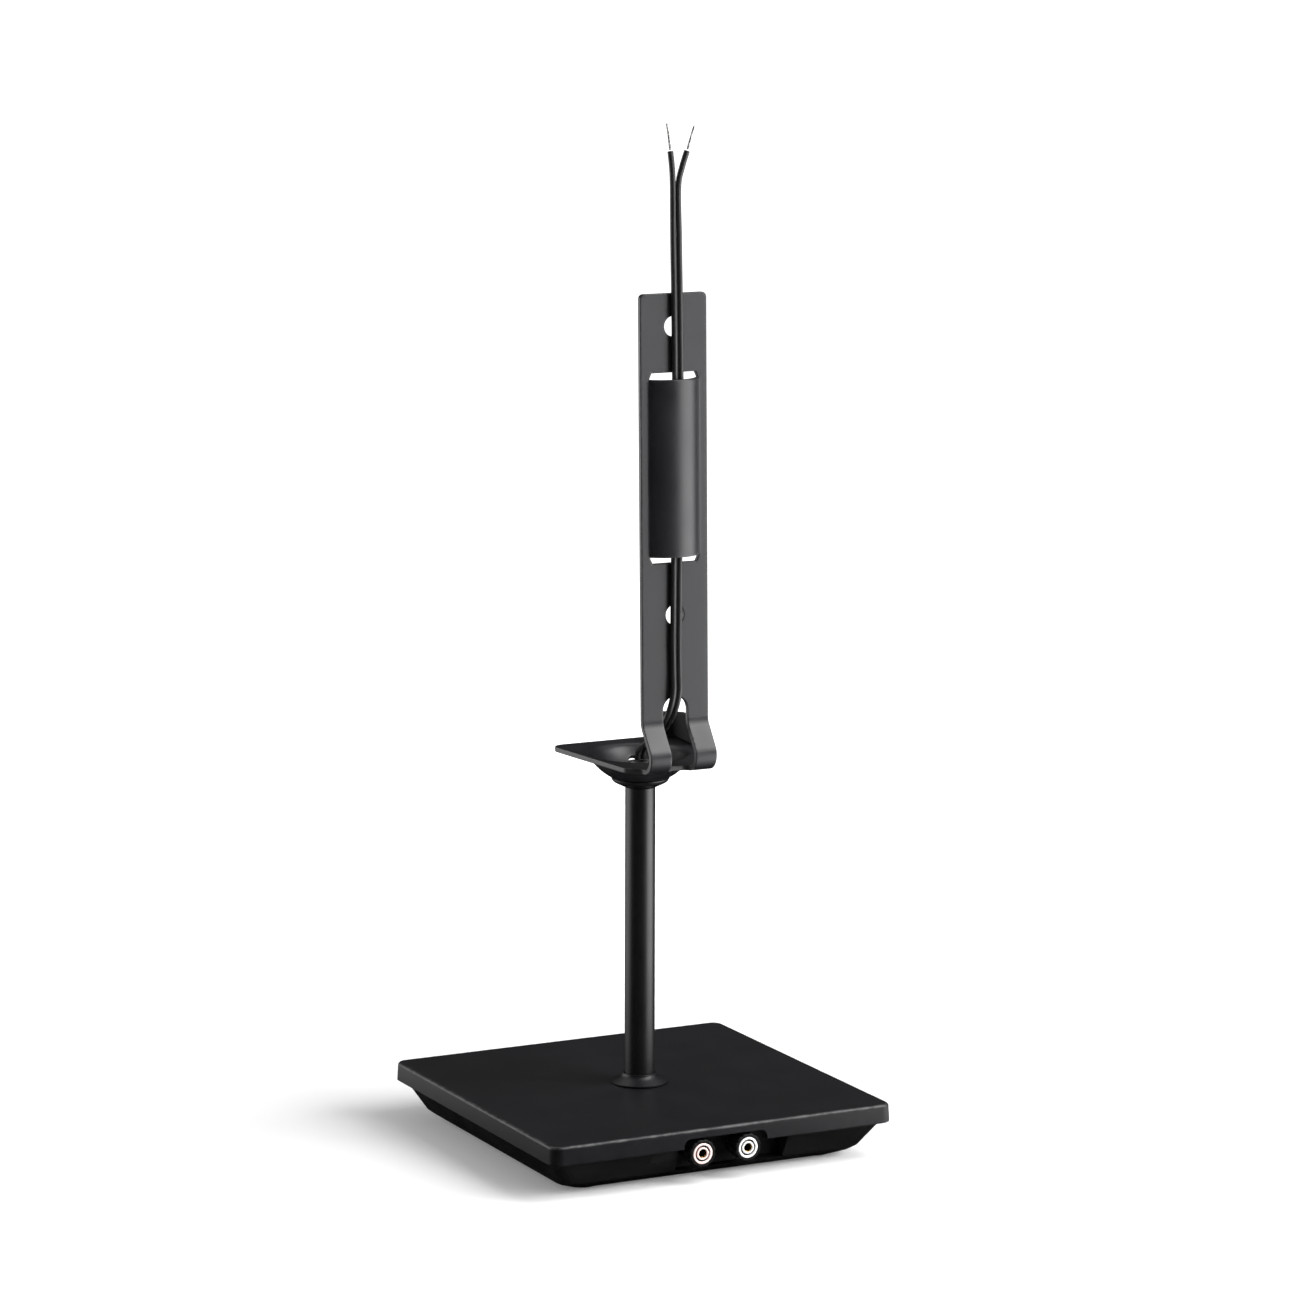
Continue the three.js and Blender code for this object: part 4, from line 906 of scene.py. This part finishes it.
def makePad(s):
    # Black pad inside the lip: a sheet standing on its edge that follows the lip, turns the tray's corner
    # on an arc and runs back along the front edge.
    corner, outward, along = lipAxes(s)
    half = s["lipLength"] / 2 - s["padShort"]
    low, high = (s["tray"] + s["thick"] / 2 + s[part] for part in ("padGap", "padHigh"))
    origin = corner - (s["thick"] + s["padGap"] + s["padThick"] / 2) * outward
    r = s["padCorner"]
    bendFrom = half - r - s["padThick"] / 2

    def middle(p):
        turn = np.clip((p[:, :1] - bendFrom) / r, 0, np.pi / 2)
        past = np.maximum(p[:, :1] - bendFrom - r * np.pi / 2, 0)
        ahead = np.minimum(p[:, :1], bendFrom) + r * np.sin(turn)
        aside = -r * (1 - np.cos(turn)) - past
        flat = origin + ahead * along + aside * outward
        return np.stack([flat[:, 0], flat[:, 1], p[:, 1]], -1)

    end = half + s["padReturn"]
    outline = roundedLine([(-half, low, 1.2), (end, low, 1.2), (end, high - 1.2, 2), (bendFrom + 2, high - 2, 4),
                           (0.5, high, 10), (-half, high - 1.2, 2.4)], 6, True)
    inner = np.stack(np.meshgrid(np.arange(-half, end, 1.0), np.arange(low, high, 1.3)), -1).reshape(-1, 2)
    points, faces, _ = sheetMesh(outline, [], inner, middle, s["padThick"], s["padEdge"], 0.9)
    pad = addPiece("lipPad", points, faces, "footRubber", "bracket_body", ["lip_pad"])


makePad(bracket)
print("bracket done")


# terminals

terminal = {
    "spacing": 24, "face": -76, "height": 15,
    "stem": 2.75, "nose": 2.2, "noseFrom": 9.5, "socket": 1.9, "socketEnd": -4, "front": 13.3, "tail": -11,
    "hole": 3.05, "collarRadius": 6, "collarLow": 0.3, "collarThick": 2.4,
    "washerLow": 3.0, "washerRadius": 5.6, "washerThick": 0.9,
    "capLow": 4.2, "capRadius": 6.75, "capFront": 14, "capEdge": 0.6, "neckInset": 0.4, "neckLong": 2.6,
    "flutes": 12, "fluteHalf": 0.75, "fluteDepth": 0.38,
    "ringOuter": 5.0, "ringInner": 3.95, "ringThick": 1.2, "seat": 0.2,
    "bushOuter": 3.0, "bushInner": 2.25, "bushThick": 1.5, "landDrop": 0.9,
}


def capPoints(s):
    # The clamping cap: a turned profile whose wall is pressed in by round-bottomed flutes.
    neck, neckEnd = s["capRadius"] - s["neckInset"], s["capLow"] + s["neckLong"]
    ringFloor, bushFloor = s["capFront"] - s["ringThick"] - 0.3, s["capFront"] - s["bushThick"] - 0.3
    land = s["capFront"] - s["landDrop"]
    grooveIn, grooveOut, bush = s["ringInner"] - s["seat"], s["ringOuter"] + s["seat"], s["bushOuter"] + s["seat"]
    wall = [(s["capRadius"], z) for z in np.linspace(neckEnd + 0.7, s["capFront"] - s["capEdge"] - 0.4, 8)]
    profile = roundedLine([
        (s["hole"], s["capLow"]), (neck, s["capLow"], 0.5), (neck, neckEnd, 0.1),
        (s["capRadius"], neckEnd + s["neckInset"], 0.15), *wall,
        (s["capRadius"], s["capFront"], s["capEdge"]), (grooveOut, s["capFront"], 0.12), (grooveOut, ringFloor),
        (grooveIn, ringFloor), (grooveIn, land, 0.1), (bush, land, 0.1), (bush, bushFloor),
        (s["hole"], bushFloor)], 4)

    def flutes(radius, height, angle):
        step = 2 * np.pi / s["flutes"]
        away = np.abs((angle + step / 2) % step - step / 2) * s["capRadius"] / s["fluteHalf"]
        depth = s["fluteDepth"] * np.sqrt(np.clip(1 - away ** 2, 0, 1))
        ends = np.clip((height - neckEnd - 0.25) / 0.5, 0, 1)
        return depth * ends * (radius > grooveOut + 0.13)

    return turnedPoints(profile, s["flutes"] * 16, flutes)


def makeTerminal(side, name, ringFinish, s):
    place = (side * s["spacing"] / 2, s["face"], s["height"])
    title, knob, clamp = name.capitalize(), name + "_knob", name + "_clamp"
    node = "terminal_" + name + "_"

    def add(part, turned, finish, body):
        points, faces = turned
        addPiece("terminal" + title + part.capitalize(), rearward(points, *place), faces, finish, body, [node + part])

    def ringOf(inside, outside, low, thick, edge):
        high = low + thick
        return turnedPoints(roundedLine([(inside, low, edge), (outside, low, edge), (outside, high, edge),
                                         (inside, high, edge)], 5, True), 72)

    stem = roundedLine([(0, s["tail"]), (s["stem"], s["tail"], 0.4), (s["stem"], s["noseFrom"], 0.1),
                        (s["nose"], s["noseFrom"]), (s["nose"], s["front"], 0.18), (s["socket"], s["front"], 0.15),
                        (s["socket"], s["socketEnd"]), (0, s["socketEnd"])], 4)
    add("stem", turnedPoints(stem, 48), "goldPlate", "root")
    add("collar", ringOf(s["hole"], s["collarRadius"], s["collarLow"], s["collarThick"], 0.3), "moulding", "root")
    add("washer", ringOf(s["hole"], s["washerRadius"], s["washerLow"], s["washerThick"], 0.15), "goldPlate", clamp)
    add("cap", capPoints(s), "moulding", knob)
    for part, edge in (("ring", 0.3), ("bush", 0.2)):
        thick = s[part + "Thick"]
        add(part, ringOf(s[part + "Inner"], s[part + "Outer"], s["capFront"] - thick, thick, edge), ringFinish, knob)


makeTerminal(-1, "left", "redRing", terminal)
makeTerminal(1, "right", "whiteRing", terminal)
print("terminals done")


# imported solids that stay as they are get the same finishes

kept = {
    "moulding": ["underbody", "terminal_panel"],
    "ballastSteel": ["ballast_plate"],
    "platedSteel": ["lower_plug", "column_washer", "column_nut", "terminal_left_nut", "terminal_right_nut",
                    "base_screw_1", "base_screw_2", "base_screw_3", "base_screw_4"],
    "tinnedWire": ["terminal_left_lug", "terminal_right_lug"],
    "innerJacket": ["inner_core_left", "inner_core_right"],
}
for finish, names in kept.items():
    for name in names:
        mesh = nodes[name].data
        mesh.materials.clear()
        mesh.materials.append(materials[finish])


# studio

studio = {                  # a soft box that isn't mirrored lights the stand but shows in no reflection
    "softboxRight": {"at": (1265, -1140, 590), "aim": (0, 0, 230), "size": (2400, 1130), "power": 43,
                     "mirrored": False},
    "softboxHigh": {"at": (935, -805, 1321), "aim": (0, 0, 210), "size": (900, 1600), "power": 31, "mirrored": True},
    "softboxLeft": {"at": (-1120, 1010, 480), "aim": (0, 0, 230), "size": (1500, 920), "power": 9, "mirrored": True},
}
# Floor patches that glow in reflections only: painted light for highlights on the column and the base's sides.
glowingCards = {"right": {"towards": (0.81, -0.59, 0), "level": 5.0}, "left": {"towards": (-0.74, 0.67, 0), "level": 1.5}}


def addSoftbox(name, s):
    # A rectangular area light, turned from its place towards its aim.
    data = bpy.data.lights.new(name, "AREA")
    data.shape = "RECTANGLE"
    data.size, data.size_y = s["size"][0] * mm, s["size"][1] * mm
    data.energy = s["power"]
    lamp = bpy.data.objects.new(name, data)
    at, aim = Vector(s["at"]) * mm, Vector(s["aim"]) * mm
    lamp.matrix_world = Matrix.Translation(at) @ (aim - at).to_track_quat("-Z", "Y").to_matrix().to_4x4()
    bpy.context.scene.collection.objects.link(lamp)
    lamp.visible_camera = False
    lamp.visible_glossy = s["mirrored"]


room = {"fill": 0.3, "behind": (0.1, 0.4), "above": (0.55, 0.8)}       # behind and above: where reflections fade in


def makeWorld(s):
    # White for the camera; dim for soft light; reflections see white only high up behind the stand.
    world = bpy.data.worlds.new("studio")
    bpy.context.scene.world = world
    world.use_nodes = True
    tree = world.node_tree
    background = tree.nodes["Background"]
    rays = put(tree, "LightPath").outputs
    direction = put(tree, "SeparateXYZ", {0: put(tree, "TexCoord").outputs["Generated"]}).outputs
    behind = times(tree, spread(tree, direction["Y"], *s["behind"]), spread(tree, direction["Z"], *s["above"]))
    seen = calc(tree, "MAXIMUM", rays["Is Glossy Ray"], rays["Is Transmission Ray"])
    other = times(tree, calc(tree, "SUBTRACT", 1.0, seen), s["fill"])
    level = calc(tree, "MAXIMUM", rays["Is Camera Ray"], calc(tree, "ADD", times(tree, seen, behind), other))
    feed(tree, background.inputs, {"Strength": level})
    background.inputs["Color"].default_value = (1, 1, 1, 1)


ground = {"half": 40, "pale": 0.9, "white": (0.15, 0.6, 0.12, 1.0), "cardEdge": (0.82, 0.97), "cardFrom": (0.11, 0.42)}


def makeFloor(s, glowingCards):
    # A wide pale floor: it keeps the stand's shadow, and away from the stand it is plain white to the
    # camera. In reflections it is dark but for two glowing patches under the soft boxes, painted light that only
    # reflections see, standing in for pale cards.
    mesh = bpy.data.meshes.new("floor")
    corners = [(x * s["half"], y * s["half"], 0) for x, y in ((-1, -1), (1, -1), (1, 1), (-1, 1))]
    mesh.from_pydata(corners, [], [(0, 1, 2, 3)])
    floor = bpy.data.objects.new("floor", mesh)
    bpy.context.scene.collection.objects.link(floor)
    material, tree, shader, where = startMaterial("floor", {"specular": 0.0})
    shader.inputs["Emission Color"].default_value = (1, 1, 1, 1)
    away = put(tree, "VectorMath", {0: where}, operation="LENGTH").outputs["Value"]
    towards = put(tree, "VectorMath", {0: where}, operation="NORMALIZE").outputs[0]
    cardLight = 0.0
    for card in glowingCards.values():
        aligned = put(tree, "VectorMath", {0: towards, 1: card["towards"]}, operation="DOT_PRODUCT").outputs["Value"]
        cardLight = calc(tree, "ADD", cardLight, spread(tree, aligned, *s["cardEdge"], 0.0, card["level"]))
    cardLight = times(tree, cardLight, spread(tree, away, *s["cardFrom"]))
    rays = put(tree, "LightPath").outputs
    glow = calc(tree, "ADD", times(tree, rays["Is Camera Ray"], spread(tree, away, *s["white"])),
                times(tree, rays["Is Glossy Ray"], cardLight))
    colour = mixColour(tree, rays["Is Glossy Ray"], grey(s["pale"]), grey(0.0))
    feed(tree, shader.inputs, {"Base Color": colour, "Emission Strength": glow})
    mesh.materials.append(material)


makeWorld(room)
makeFloor(ground, glowingCards)
for name, look in studio.items():
    addSoftbox(name, look)
print("studio done")
